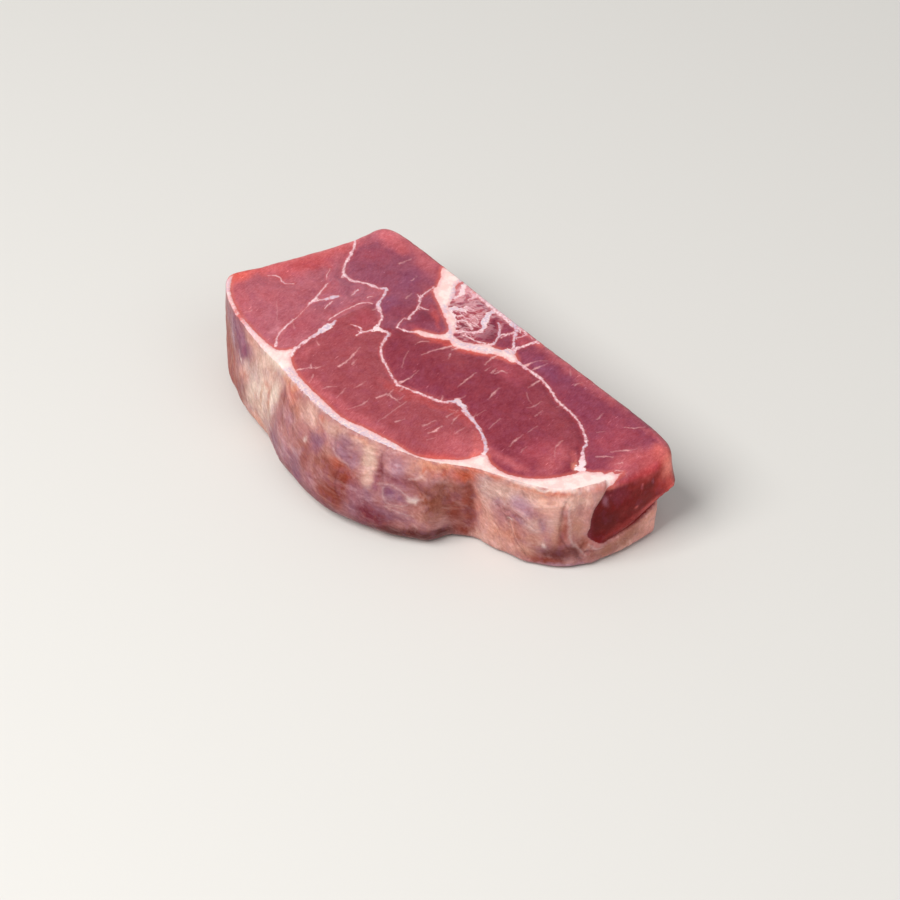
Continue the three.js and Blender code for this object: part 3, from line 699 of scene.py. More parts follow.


# The skin side
# The outside of the leg is a tough membrane over lean and fat. It is patched with lilac, cream, peach
# and brown, has painted shade low down where it rolls under, and ends at the tip, where the muscle is
# bare.
# Places are the distance along the rim and the height. The patches are drawn out along the flow.

SKIN_TONES = {
    "rust": (170, 88, 72), "mauve": (162, 110, 122), "purple": (134, 80, 114), "cream": (240, 216, 200),
    "pale": (226, 182, 168), "peach": (224, 156, 132), "orange": (204, 106, 80), "coral": (214, 126, 110),
    "rose": (188, 132, 130), "brown": (156, 98, 88), "umber": (140, 72, 60), "dark": (104, 42, 40),
    "lilac": (182, 144, 162), "slate": (150, 108, 124), "wine": (128, 68, 78), "blush": (214, 160, 148),
    "bone": (210, 172, 164), "olive": (150, 92, 76), "white": (246, 224, 216), "tan": (196, 142, 124),
    "clay": (168, 116, 100), "ginger": (216, 114, 90),
}
SKIN_PATCHES = [
    # Along the rim, height, half length, half height, turn in degrees, tone, strength
    # Dark, wine and umber patches low on the side, from about 90 to 150 along and below about 7 mm, are
    # painted shade where the side rolls under.
    (8, 18, 10, 17, 0, "rust", .95), (20, 14, 8, 13, 0, "rust", .9), (30, 8, 8, 6, 0, "rust", .85),
    (14, 30, 6, 4, 0, "mauve", .75), (23, 31, 5, 3.4, 0, "mauve", .8), (6, 32.6, 6, 2.4, 20, "rose", .6),
    (31.4, 28.2, 11.5, 6.2, -35, "purple", .64), (36.4, 25.6, 3.4, 2.6, 0, "purple", .3),
    (38, 33.6, 6, 2.2, -10, "blush", .85), (24, 26, 2, 4, 10, "lilac", .5),
    # A painted glint, one of a row:
    (33, 22.6, .8, .8, 0, "white", .6),
    (30.4, 21.6, .7, .9, 0, "blush", .7), (38, 22.4, 3.6, 2.4, 0, "bone", .75),
    (36, 18.4, 3.6, 2.8, 20, "peach", .7),
    (41.4, 24.6, 2.4, 3, 0, "rose", .6), (38, 9.6, 4, 6, 20, "brown", .85),
    (41, 15, 1.4, 2.4, 20, "umber", .5),
    # The cream patch over the gristle of the strap.
    (49, 31.8, 9, 3.4, 0, "pale", .85), (52, 20, 11.4, 12, 8, "cream", .9),
    (62, 24, 3.4, 7, 8, "cream", .8),
    (50, 22, 1.4, 6, 12, "white", .5), (55.4, 19, 1.2, 5, 12, "white", .3),
    (61.6, 25, 1.4, 6, 12, "white", .4),
    (52.8, 18, 1.2, 6, 12, "tan", .7), (58.4, 21, 1.4, 6, 12, "tan", .7), (53, 29, 5, 3, 0, "pale", .7),
    (54.4, 25.6, 2.4, 1.4, 10, "coral", .5), (57, 23.4, 1.2, 1.6, 0, "orange", .4),
    (47.6, 24, 2, 3.4, 20, "rose", .45), (57, 16, 2, 5, 14, "rose", .4), (50, 14, 2, 6, 12, "blush", .5),
    (50, 5, 10, 4, 6, "peach", .9), (60, 7, 5, 4, 10, "blush", .6), (44, 4, 4, 3, 0, "tan", .6),
    (54, 2.4, 8, 2, 0, "coral", .5),
    # Coral and tan streaks beside it, over mauve.
    (69, 33.4, 5, 2.6, 0, "coral", .75), (74, 31, 4, 2.4, -20, "coral", .6),
    (71.6, 34.6, 3, 1, 0, "peach", .6),
    (64.6, 32, 3, 3, 0, "pale", .7), (65, 34.4, 4, 1.6, 0, "peach", .8),
    (67.4, 27.6, 2, 4, 14, "brown", .6), (70.6, 24, 1.6, 3.4, 14, "brown", .5),
    (77, 29, 4, 3, -10, "tan", .6), (74, 26, 3, 3, 0, "mauve", .5), (84, 32.4, 6, 3, 0, "pale", .75),
    (48, 35.6, 7, 2, 0, "cream", .8), (57, 35.4, 6, 2.2, 0, "cream", .8), (67, 36, 7, 1.2, 0, "pale", .8),
    (80, 36.2, 9, 1, 0, "bone", .8), (90, 34.4, 2.6, 1.2, 0, "coral", .7), (80, 24, 4, 3, 10, "rose", .6),
    (67.4, 16, 5.4, 7, 10, "mauve", .7),
    (65, 20, 2, 3, 0, "purple", .2), (69, 10, 7, 5, 20, "slate", .8), (64.6, 20, 2.4, 6, 10, "blush", .4),
    (75, 17, 4, 6, 10, "rose", .7), (76.6, 14, 2.4, 4, 10, "lilac", .5), (78, 7, 6, 4, 20, "wine", .65),
    (84, 13, 5, 6, 20, "slate", .8), (87, 9, 4, 3, 20, "purple", .5), (94, 12, 4, 5, 10, "mauve", .75),
    (92, 6, 6, 3, 10, "wine", .7), (91.6, 27, 4, 2.6, -10, "slate", .85),
    (92.6, 24.6, 3, 1.6, 0, "purple", .35), (98, 24, 3, 4, 10, "brown", .6),
    (84.4, 21.6, 2.4, 3, 0, "brown", .55), (88.6, 20.4, 2.4, 5, 10, "umber", .6),
    (86.6, 25.4, 1, 1, 0, "white", .5),
    (95.4, 20, 3, 5, 14, "brown", .75), (97, 33.8, 7, 2.2, 0, "pale", .8),
    (98, 26.4, 3, 2, 0, "blush", .5),
    (104, 30.4, 6.4, 3.4, -10, "slate", .75), (104, 27.6, 4, 1.6, -20, "lilac", .6),
    # The rust patch, the pale column, and the ring of vein with a white painted highlight on it.
    (105.4, 18.6, 6.2, 8.2, 14, "umber", .9), (103, 25, 3.4, 1.6, -10, "orange", .5),
    (109, 22.6, 2.6, 2.4, 0, "rust", .7),
    (102, 11.6, 6, 4, 0, "umber", .85), (101, 5, 7, 3, 0, "wine", .8),
    (111.6, 33.6, 6, 2.2, 0, "pale", .8),
    (109, 34.8, 5, 1, 0, "peach", .5), (114.6, 27, 3, 7, 4, "pale", .85),
    (113.6, 30, 2.4, 3, 0, "cream", .35),
    (115.6, 22, 2, 3, 0, "bone", .6), (119.4, 27, 1.8, 5, 8, "wine", .75),
    (118.6, 22.6, 1.4, 2, 0, "purple", .45),
    (109.4, 27.4, 2, 2.4, 0, "lilac", .5), (112, 17, 4, 5, 10, "mauve", .85),
    (117, 17, 3, 4, 0, "slate", .7),
    (112, 10, 5, 4, 10, "slate", .7), (117, 11, 5, 3.4, 0, "wine", .75),
    (121, 33, 4, 2.6, 0, "rose", .85),
    (126, 31, 4, 2.6, -10, "lilac", .7), (131, 33, 4, 2, 0, "lilac", .35),
    (128, 26.6, 7, 2, 0, "mauve", .8),
    (124, 27.6, 3, 2, 0, "wine", .35), (126, 21, 5.4, 3.6, 0, "slate", .9),
    (125, 22, 2, 1.6, 0, "purple", .4),
    # The white at 132.8 is the painted highlight on the ring of vein.
    (129, 19.6, 1.6, 2, 0, "purple", .3), (132.8, 21.2, 1.7, 1.2, 0, "white", .75),
    (135, 24, 3, 1.4, -10, "brown", .7),
    (137.6, 21.6, 2.4, 2, 0, "brown", .8), (121, 11.4, 7, 5, 0, "wine", .85),
    (128.6, 13.4, 5, 2, -8, "slate", .75),
    (122, 14.6, 4, 1.4, -8, "slate", .6), (127, 27.4, 5, 2, 0, "wine", .4), (118, 6, 6, 3, 0, "wine", .8),
    (133, 15.6, 5, 3, -6, "rose", .6),
    (139, 14.6, 5, 3, -6, "tan", .5), (136, 26.4, 6, 2.6, 0, "brown", .7),
    (144, 26.6, 5, 3, 0, "brown", .8),
    (140, 20, 6, 5, 0, "olive", .8), (146, 16, 4, 9, 0, "umber", .85),
    (134, 32.6, 5, 2.6, 0, "blush", .85),
    (138, 34.2, 8, 1.6, 0, "peach", .6), (142, 32.6, 6, 2.4, 0, "coral", .6),
    (140, 34.8, 7, 1.4, 0, "peach", .7), (135.6, 32, 1, 1, 0, "orange", .6),
    (142.4, 33, 1.2, 1, 0, "orange", .7), (150, 32, 5, 3.4, 0, "ginger", .92),
    (157, 35.2, 6, 1.2, 0, "orange", .85), (162, 35.6, 5, 1, 0, "orange", .6),
    (154.6, 22, 1.6, 8, 4, "coral", .6),
    (151.4, 25, 3, 5, 0, "umber", .6), (151.6, 17, 2.4, 9, 0, "rust", .6),
    # The dark patches at 130 and 141, the wine at 109 and the umber at 149 are painted shade at the foot.
    (151.6, 15, 2.4, 8, 0, "umber", .6), (130, 5, 15, 3.4, 0, "dark", .97),
    (141, 4.4, 6, 2.8, -14, "dark", .85), (109, 3.4, 9, 2.4, 0, "wine", .8),
    (149, 6, 3, 4, 0, "umber", .8),
    # Past the fold, where the skin is taut over fat: bone and blush, with a lilac patch.
    (158, 28, 4, 8, 4, "bone", .9), (158, 16, 4, 8, 0, "blush", .9), (164, 28, 5, 5, 0, "bone", .8),
    (167, 31, 7, 3.6, -10, "pale", .6),
    (161, 7, 6, 6, 0, "blush", .85), (155, 3, 4, 3, 0, "pale", .7), (168, 31, 5, 3, -10, "bone", .75),
    (171, 27, 4, 4, -20, "lilac", .75), (175, 25, 3, 3, -20, "lilac", .5),
    (163, 23.6, 3, 3, 0, "lilac", .4),
    (166, 21, 5, 2.4, -14, "rose", .6), (171, 20, 3.6, 1, -14, "slate", .9),
    (177, 19, 4, 4, 0, "bone", .7),
    (180, 19.6, 1.2, 2.6, 10, "slate", .7), (184, 22, 3, 6, 0, "bone", .6),
    (166, 12, 7, 4.6, 0, "peach", .55),
    (167, 5, 7, 3.4, 0, "blush", .7), (171, 12.6, .8, 4, 25, "brown", .7),
    (177, 12.6, 4, 3, 0, "tan", .6),
    # The dark at 184.6 and the umber at 181 below it, and the dark at 190.6 on the next line, are painted
    # shade under the deepest fold.
    (174, 6, 4, 3, 0, "tan", .7), (184.6, 8, 7, 4.6, -6, "dark", .9), (181, 3.6, 6, 2, 0, "umber", .8),
    (190.6, 9, 1.2, 3.6, 30, "dark", .7), (180.6, 11.4, 1, .8, 0, "white", .5),
    (167.6, 17.6, 1, .7, 0, "white", .8),
    (180, 30.6, 7, 4, -10, "pale", .9), (182, 26, 4, 3, 0, "blush", .6),
    (182, 35.4, 16, 1, 0, "white", .8), (188, 33.8, 12, 1.2, 0, "coral", .9),
    (182, 31.6, 6, 2.6, 0, "peach", .55),
    # The umber at 187 is painted shade to the left of the deepest fold.
    (174, 34.2, 8, 1.2, 0, "peach", .6), (187, 19, 1.9, 8, 0, "umber", .72),
    (185, 18, 1.6, 6, 0, "tan", .6),
    (192.6, 24, 4, 9, 0, "blush", .8), (192, 19, 2.4, 4, 0, "tan", .7), (193, 31.4, 7, 4, 0, "pale", .9),
    (196, 27, 5, 6, 30, "rose", .45),
    (193.4, 12, 2.8, 3.4, 0, "brown", .95), (195, 9.4, 1.4, 1, 0, "blush", .6),
    (196.6, 6, 2, 2, 0, "brown", .6),
    (187, 1.6, 10, 1, 0, "lilac", .7),
    # The strip of fat under the bare tip.
    (204, 5.4, 7, 4, 6, "clay", .9), (213, 7, 8, 5, 12, "clay", .85), (224, 9, 7, 5, 16, "blush", .9),
    (212, 2.6, 10, 2.4, 8, "blush", .65), (222, 12, 5, 1.4, 16, "tan", .5),
]
# Thin lines in the skin, pale or dark: points along the rim and up, with half the width at each. The
# dark ones that follow the folds are painted shade in their creases, and some pale ones are painted
# highlights and glints.
PALE_LINES = [
    [(20, 33.4, .1), (22.6, 29, .3), (24.6, 25, .2), (26, 22, .1)],
    # The next line is a row of painted glints.
    [(31, 24.4, .2), (33.4, 21.6, .4), (37, 20, .2)],
    # The wide middle of the next line, at 131 to 134 along, is the painted highlight on the ring of vein.
    [(120, 23.4, .1), (122.6, 24.2, .1), (125.4, 24.8, .15), (129, 23.2, .1), (131.6, 21.6, .6),
     (134, 21.2, .7),
     (136, 21.6, .1)],
    [(122, 22.4, .1), (122.4, 20.4, .1), (125, 18, .15), (128.6, 17.4, .1), (131, 18.4, .1)],
    [(124, 16.4, .1), (128.6, 14.8, .15), (133, 14.4, .1)],
    [(99.4, 28.4, .1), (103, 26.6, .3), (107, 26, .1)],
    # The next line is a painted highlight on the lifted edge beside the deepest fold.
    [(189.4, 31, .3), (189, 24, .4), (189.2, 17, .35), (191.4, 11, .4), (194.4, 6.4, .3)],
    [(196, 10.4, .4), (197.6, 8.6, .5), (200, 8, .2)], [(136, 32, .2), (134, 29.4, .4), (131, 28.4, .2)],
    [(166, 24.4, .1), (169.6, 24.2, .15), (174, 22.8, .1)],
]
DARK_LINES = [
    # The first line is the painted shadow that the lifted edge casts into the deepest fold.
    [(187.6, 31, .15), (186.7, 26, .35), (186.3, 20, .5), (186.9, 14.6, .5), (189.6, 9, .6),
     (193.4, 3.6, .3)],
    [(163, 22.6, .3), (167, 22.2, .7), (170.6, 21.4, .8), (174, 19.6, .3)],
    [(166.6, 19.4, .15), (168.4, 14, .35), (170.6, 9, .35), (174.6, 3.4, .15)],
    [(164.6, 20.6, .1), (166.6, 17.8, .3)], [(172, 34, .1), (173.4, 31.6, .3), (175, 29.6, .1)],
    [(192, 12.8, .2), (193.6, 8.8, .4), (196.4, 7.4, .35), (198.6, 7.8, .1)],
    [(38, 15.4, .2), (41, 13.4, .8), (43.4, 11, .3)], [(73.4, 13.6, .2), (75.4, 12.4, .5)],
    [(64, 21.6, .15), (65, 19.6, .3)],
    [(67.4, 30, .2), (69.4, 25.6, .4), (72, 22, .2)], [(74.6, 29.4, .2), (77.6, 25.6, .4), (80, 22, .2)],
    [(119, 33, .1), (120.2, 28.6, .6), (121.4, 25.4, .3)], [(98.8, 31, .4), (101.4, 27.6, .2)],
    [(132, 27.6, .3), (135.6, 25.2, .6), (138.6, 23.4, .4)],
    [(104, 25, .3), (103.6, 19, .7), (106, 13, .4)],
]
# Where the skin ends at the tip, as points along the rim and up. The muscle past it is bare.
BARE_BORDER = np.array([
    (205.6, 41), (203.4, 36.4), (202.2, 33.4), (199.8, 29.5), (197.7, 25.8), (196.6, 22), (196, 18),
    (195, 15.2), (196.4, 13), (199, 10.8), (203, 10.2), (208, 10.8), (214.6, 11.8), (220, 13.4),
    (225, 15.8),
    (229, 18), (235, 18), (243, 15), (254, 9), (266, 2), (272, -4),
], float)
END_LEAN = (110, 20, 28)
END_TONES = {
    "black": (96, 6, 9), "claret": (118, 28, 34), "plum": (122, 48, 60), "red": (188, 76, 80),
    "rust": (154, 56, 54), "pink": (206, 98, 92), "coral": (226, 128, 116), "glint": (156, 100, 116),
}
END_PATCHES = [
    (201, 20, 6, 6, 0, "black", .9), (212, 25, 7, 3, 0, "claret", .7), (207, 30, 5, 2.6, -20, "plum", .8),
    # A painted glint, then a painted highlight in coral along the rounded top edge.
    (202.4, 28.6, 1, 2.6, 20, "glint", .8), (204.6, 35, 4.6, 1.8, -10, "coral", .95),
    (213, 35, 8, 2.2, 0, "red", .95), (222, 33.6, 6, 3, 0, "red", .9), (218, 30.6, 7, 1.6, 0, "rust", .6),
    (220, 27.6, 3, 2, 0, "black", .3), (226, 26, 3, 5, -20, "rust", .8),
    (230, 32, 3.4, 7, 0, "coral", .75),
    (229, 22, 3, 5, -20, "rust", .9), (214, 15.6, 9, 1.6, 10, "rust", .7),
    (206, 12.6, 7, 1, 6, "rust", .6),
    (222, 18.6, 5, 1.2, 14, "pink", .6), (222.4, 28.6, .8, 1, 0, "glint", .5),
    # The small pink spot is a painted glint.
    (214.4, 20.6, .8, .8, 0, "pink", .7),
    (229.6, 22, 1.6, 5, 0, "pink", .6),
]
CUT_SIDE, CUT_SIDE_STRENGTH = (152, 66, 72), 0.45
# How far the streaks of the skin run along the rim for each millimetre down.
FLOW_SLOPES = ([0, 45, 70, 104, 134, 156, 178, 187, 240], [.6, .7, 1.4, 1.4, .5, .6, .4, 0, 0])
# How strongly the side is lit against the cut face, round the rim, and how much of it is shine: the
# skin's colours are divided by the first, so that they come out as seen.
SIDE_LIGHT = ([0, 30, 60, 110, 150, 180, 192, 205, 231, 260],
              [1.25, 1.2, 1.15, 1.15, 1, .98, .9, .8, .6, .55])
SIDE_SHINE = 0.045
side_spot = np.stack([rim_distance, height], 1)
light_on_side = np.interp(rim_distance, *SIDE_LIGHT)[:, None]
FLOW_STEP, FLOW_END = 0.5, 330
flow_steps = np.arange(0, FLOW_END, FLOW_STEP)
flow_widths = np.cumsum(FLOW_STEP / np.hypot(1, np.interp(flow_steps, *FLOW_SLOPES)))
slope = np.interp(rim_distance, *FLOW_SLOPES)
flow_across = np.interp(rim_distance, flow_steps, flow_widths) + height * slope / np.hypot(1, slope)
flow_across = flow_across + 2.4 * grain_noise(place_in_slice, 9.0, 20)
flow_across = flow_across + 0.9 * grain_noise(place_in_slice, 3.5, 21)
flow = np.column_stack([flow_across, height * np.hypot(1, slope), np.zeros(len(height))])
STREAK_LENGTHEN = (1, 0.3, 1)
streak = grain_noise(flow * STREAK_LENGTHEN, 1.6, 22)
drawn_out = side_spot + np.column_stack([
    1.2 * grain_noise(place_in_slice, 6.0, 23) + 0.5 * grain_noise(flow * STREAK_LENGTHEN, 1.8, 24),
    1.2 * grain_noise(place_in_slice, 6.0, 25) + 1.4 * streak,
])
skin_tint = np.repeat(seen(*SKIN_TONES["rose"], SIDE_SHINE)[None], len(spot), 0)
skin_tint = paint(skin_tint, SKIN_TONES, SKIN_PATCHES, drawn_out, SIDE_SHINE) / light_on_side
pale_line = line_field(PALE_LINES, side_spot + 0.4 * ragged)
dark_line = line_field(DARK_LINES, side_spot + 0.4 * ragged)

# Below the rim, the face's own tones give way to those of the bare tip and of the cut sides.
FACE_TONE_DEPTH = 3.0
down_side = smooth(0, FACE_TONE_DEPTH, THICKNESS - height)
end_tint = np.repeat(seen(*END_LEAN)[None], len(spot), 0)
end_tint = paint(end_tint, END_TONES, END_PATCHES, side_spot + 0.7 * ragged) / light_on_side
lean = lay(lean, end_tint, near_tip * down_side)
on_cut_side = on_side * down_side * smooth(228, 250, rim_distance)
lean = lay(lean, seen(*CUT_SIDE), on_cut_side * CUT_SIDE_STRENGTH)

bare_gap, past_bare, _ = nearest_on(spline(BARE_BORDER, per_span=8), side_spot)
skin_field = np.minimum(bare_gap * np.sign(past_bare), from_corner - 3)
# At the left the white of the rim comes a little way down; before the tip the skin laps over the rim.
WHITE_RIM = ([0, 30, 46, 62, 80, 140, 155, 165, 204], [0.7, 0.8, 1.4, 0.4, 0, 0, -0.5, -0.1, 0])
white_rim = np.interp(rim_distance, *WHITE_RIM)
skin_field = np.minimum(skin_field, THICKNESS - height - white_rim)
skin_field = np.where(on_side, skin_field, -np.maximum(rim_gap - 0.5, 0.02) - white_rim)
# The edge of the skin is soft where it runs into the fat of the tip and along the strip.
skin_softness = np.interp(rim_distance, [150, 162, 188, 194, 199, 205], [1, 3, 3, 1, 1, 3.4])
# The skin is smoothest over the fat of the strip.
skin_grain = np.interp(rim_distance, [170, 190, 204], [1, 0.75, 0.45])


# The fine form of the flesh
# Cut muscle swells a little between its seams, and its surface is pitted and grained. The skin is
# puckered where it has shrunk, and lumpy over the fat.

def vertex_normals(positions):
    """The way out of the surface at each vertex."""
    a, b, c, d = (positions[quads[:, i]] for i in range(4))
    face_normals = np.cross(c - a, d - b)
    normals = np.zeros_like(positions)
    for i in range(4):
        np.add.at(normals, quads[:, i], face_normals)
    return normals / np.linalg.norm(normals, axis=1)[:, None]


# Heights and widths in millimetres. A noise's seed is its last number.
SWELL, SWELL_REACH = 0.5, 5.5
SEAM_DEPTH, SEAM_HALF_WIDTH = 0.4, 2.4
FAT_RISE = 0.25
seam_gap = np.minimum(seam_field[:, 1], np.maximum(fat_area, 0))
to_edge = np.minimum(seam_gap, rim_gap + SEAM_HALF_WIDTH)
swell = SWELL * (1 - bump(to_edge / SWELL_REACH)) - SEAM_DEPTH * bump(seam_gap / SEAM_HALF_WIDTH)
in_fat = 1 - smooth(-0.6, 0.4, np.minimum(fat_area, seam_field[:, 1] - seam_field[:, 2]))
vertices[:, 2] += np.where(on_face, (swell + FAT_RISE * in_fat) * smooth(0, 2.5, rim_gap), 0)

in_skin = smooth(-0.5, 0.5, skin_field) * on_side
lumps = 0.20 * grain_noise(vertices, 5.0, 1) + 0.10 * grain_noise(vertices, 2.0, 2)
puckers = 0.34 * grain_noise(flow * (1, 0.4, 1), 4.5, 3) + 0.10 * streak
pale_rise = 0.08 * bump(pale_line[:, 1] / (pale_line[:, 2] + 0.4))
dark_dip = 0.12 * bump(dark_line[:, 1] / (dark_line[:, 2] + 0.4))
skin_edge = 0.8 * smooth(-0.3, 0.6, skin_field) * (1 - smooth(2, 9, skin_field)) * near_tip
above_floor = smooth(0.0, 3.0, height)
on_skin_side = lumps * 0.8 * (1 - in_skin) + (puckers + (pale_rise - dark_dip)) * in_skin + skin_edge
relief = np.where(on_side, on_skin_side, lumps * 0.35)
relief = relief * np.where(row_of < FIRST_SIDE_ROW, 0, above_floor)
vertices += vertex_normals(vertices) * relief[:, None]
vertices[:, 2] = np.maximum(vertices[:, 2], 0)


# The mesh
# One closed surface, moved so that it stands on the middle of the part's own box.

MM = 0.001
part_low, part_high = (np.array(corner_point) for corner_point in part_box("beef_shank"))
centre = (vertices.min(0) + vertices.max(0)) / 2
shift = (part_low + part_high) / 2 / MM - centre
shift[2] = part_low[2] / MM - vertices[:, 2].min()
slice_mesh = bpy.data.meshes.new("beef_shank_slice")
slice_mesh.from_pydata((vertices + shift) * MM, [], quads.tolist())
slice_mesh.shade_smooth()


def store(name, values):
    """Keeps a value for every vertex, for the material to read."""
    kind = {1: "FLOAT", 3: "FLOAT_VECTOR", 4: "FLOAT_COLOR"}[values.shape[1]]
    attribute = slice_mesh.attributes.new(name, kind, "POINT")
    field = {1: "value", 3: "vector", 4: "color"}[values.shape[1]]
    attribute.data.foreach_set(field, values.astype(np.float32).ravel())


def with_alpha(colours):
    """Colours with the full alpha that a colour attribute holds."""
    return np.column_stack([colours, np.ones(len(colours))])


store("seam", seam_field)
store("fleck", fleck_field)
store("pale_line", pale_line)
store("dark_line", dark_line)
store("fat_area", fat_area[:, None])
store("membrane", membrane[:, None])
store("marbled", marbled[:, None])
store("skin", skin_field[:, None])
store("skin_softness", skin_softness[:, None])
store("skin_grain", skin_grain[:, None])
store("lean", with_alpha(lean))
store("skin_tint", with_alpha(skin_tint))
store("flow", flow)
beef_slice = bpy.data.objects.new("beef_shank_slice", slice_mesh)
bpy.context.collection.objects.link(beef_slice)


# The raw meat's finish
# Wet lean with a fine grain, dull white fat, and a taut shiny skin. One material holds all of them,
# because they grow into each other.

meat = bpy.data.materials.new("raw_meat")
meat.use_nodes = True
tree = meat.node_tree
tree.nodes.clear()


def add(kind, inputs=(), **settings):
    """Adds a node with its settings, fills its inputs with values or links, and gives it back."""
    made = tree.nodes.new(kind)
    for name, value in settings.items():
        setattr(made, name, value)
    for key, value in dict(inputs).items():
        if isinstance(value, bpy.types.NodeSocket):
            tree.links.new(value, made.inputs[key])
        else:
            made.inputs[key].default_value = value
    return made


def stored(name, output="Fac"):
    """A value kept with the mesh."""
    return add("ShaderNodeAttribute", attribute_name=name).outputs[output]


def maths(operation, first, second=0.0):
    """One sum on values or sockets."""
    return add("ShaderNodeMath", {0: first, 1: second}, operation=operation).outputs[0]


def ramp(value, low, high, start=0.0, end=1.0):
    """Goes from start to end as the value goes from low to high, level at both ends."""
    made = add("ShaderNodeMapRange", {0: value, 1: low, 2: high, 3: start, 4: end})
    made.interpolation_type = "SMOOTHSTEP"
    return made.outputs[0]


def colour(red, green, blue):
    """A colour as seen, for a colour socket."""
    return (*seen(red, green, blue), 1.0)


def mixed(share, under, over):
    """One colour over another. A Mix node takes its colours at 6 and 7 and gives one back at 2."""
    return add("ShaderNodeMix", {0: share, 6: under, 7: over}, data_type="RGBA").outputs[2]


place = add("ShaderNodeTexCoord").outputs["Object"]
flow_place = stored("flow", "Vector")


def grain(size, detail=3.0, longer=None, turn=0.0, on_skin=False, roughness=0.55):
    """Noise with lumps of a size in millimetres, made longer along each axis, turned about Z."""
    source, unit = (flow_place, 1.0) if on_skin else (place, 1 / MM)
    if longer is not None:
        source = add("ShaderNodeMapping", {"Vector": source, "Rotation": (0, 0, math.radians(turn)),
                                           "Scale": longer}, vector_type="TEXTURE").outputs[0]
    made = add("ShaderNodeTexNoise", {"Vector": source, "Scale": unit / size, "Detail": detail,
                                      "Roughness": roughness})
    return made.outputs[0]


SEEN_GAMMA = 2.2
TONE_STRENGTH = 0.33
DARKEST_SEEN = (0.02, 0.02, 0.02)


def shaded(tint, tone):
    """A colour made lighter or darker by a tone to either side of nought: wet flesh pales as it lightens,
    so red, green and blue move by the same step as seen."""
    as_seen = add("ShaderNodeGamma", {"Color": tint, "Gamma": 1 / SEEN_GAMMA}).outputs[0]
    red = add("ShaderNodeSeparateXYZ", {0: as_seen}).outputs[0]
    step = maths("MULTIPLY", maths("MULTIPLY", tone, red), TONE_STRENGTH)
    moved = add("ShaderNodeVectorMath", {0: as_seen, 1: step}, operation="ADD").outputs[0]
    moved = add("ShaderNodeVectorMath", {0: moved, 1: DARKEST_SEEN}, operation="MAXIMUM").outputs[0]
    return add("ShaderNodeGamma", {"Color": moved, "Gamma": SEEN_GAMMA}).outputs[0]


def either_side(value, scale):
    """Noise as a number that goes to either side of nought."""
    return maths("MULTIPLY", maths("SUBTRACT", value, 0.5), scale)


# The fibres run across the slice, a little askew, and straight down through it.
FIBRE_TURN = 10
seam, fleck, pale, dark = (
    add("ShaderNodeSeparateXYZ", {0: stored(name, "Vector")}).outputs
    for name in ("seam", "fleck", "pale_line", "dark_line")
)
wobble = either_side(grain(1.8, 3), 1.1)
wobble_fine = either_side(grain(0.8, 2), 0.5)
roughened = maths("ADD", wobble, wobble_fine)
narrowing = ramp(grain(2.2, 2), 0.34, 0.62, 0.45, 1.1)
LINE_END_REACH = 0.5


def line_share(line, soft, widen=0.0):
    """1 on a stored line and 0 off it, with a ragged edge."""
    half = maths("ADD", maths("MULTIPLY", line[2], narrowing), widen)
    across = maths("SUBTRACT", maths("ABSOLUTE", maths("ADD", line[0], roughened)), half)
    away = maths("SUBTRACT", line[1], maths("ADD", half, LINE_END_REACH))
    return ramp(maths("MAXIMUM", across, away), -soft, soft, 1.0, 0.0)


patchy = ramp(grain(1.0, 3), 0.30, 0.52, 0.45, 1.0)
seam_solid = ramp(seam[2], 0.7, 1.3)
seam_share = maths("MULTIPLY", line_share(seam, 0.36), maths("MAXIMUM", patchy, seam_solid))
seam_halo = line_share(seam, 1.0, 0.5)
fleck_strength = maths("MULTIPLY", ramp(fleck[2], 0.12, 0.5, 0.35, 0.95), patchy)
fleck_share = maths("MULTIPLY", line_share(fleck, 0.42), fleck_strength)
fat_edge = maths("ADD", stored("fat_area"), roughened)
fat_share = ramp(fat_edge, -0.35, 0.3, 1.0, 0.0)
fat_margin = ramp(fat_edge, -2.2, -0.1)
fat_halo = ramp(maths("ADD", stored("fat_area"), wobble), 0.0, 2.0, 1.0, 0.0)
skin_edge_place = maths("ADD", stored("skin"), maths("MULTIPLY", roughened, 0.8))
skin_share = ramp(maths("DIVIDE", skin_edge_place, stored("skin_softness")), -0.2, 0.2)

# Lean: the muscle's own red, with darker and lighter bundles of fibre, and fine pale flecks. It pinkens
# beside fat and gristle.
LILAC_BLOTCH, RED_BLOTCH, BLOTCH_SHARE = (158, 86, 120), (176, 72, 72), 0.12
MARBLED_PINK, MARBLED_VEIN = (216, 124, 136), (236, 190, 196)
BESIDE_SEAM, BESIDE_FAT = (214, 100, 92), (228, 118, 102)
fibre = grain(0.5, 3, longer=(1, 2.6, 2.6), turn=FIBRE_TURN)
bundle = grain(1.7, 3, longer=(1, 1.7, 1.7), turn=FIBRE_TURN)
cloud = grain(6.0, 3)
speck = grain(0.55, 2)
lean_colour = stored("lean", "Color")
fibre_tone = maths("ADD", either_side(bundle, 0.7), either_side(fibre, 0.8))
lean_tone = maths("ADD", either_side(cloud, 0.5), fibre_tone)
lean_colour = shaded(lean_colour, lean_tone)
blotch = grain(4.0, 4)
lean_colour = mixed(ramp(blotch, 0.50, 0.68, 0.0, BLOTCH_SHARE), lean_colour, colour(*LILAC_BLOTCH))
lean_colour = mixed(ramp(blotch, 0.48, 0.34, 0.0, BLOTCH_SHARE), lean_colour, colour(*RED_BLOTCH))
lean_colour = shaded(lean_colour, ramp(speck, 0.60, 0.78, 0.0, 0.35))
tiny_fleck = grain(0.8, 1, longer=(1, 5, 5), turn=FIBRE_TURN)
lean_colour = shaded(lean_colour, ramp(tiny_fleck, 0.68, 0.80, 0.0, 0.7))
marbling = grain(3.0, 2, longer=(1.9, 1, 1), turn=45)
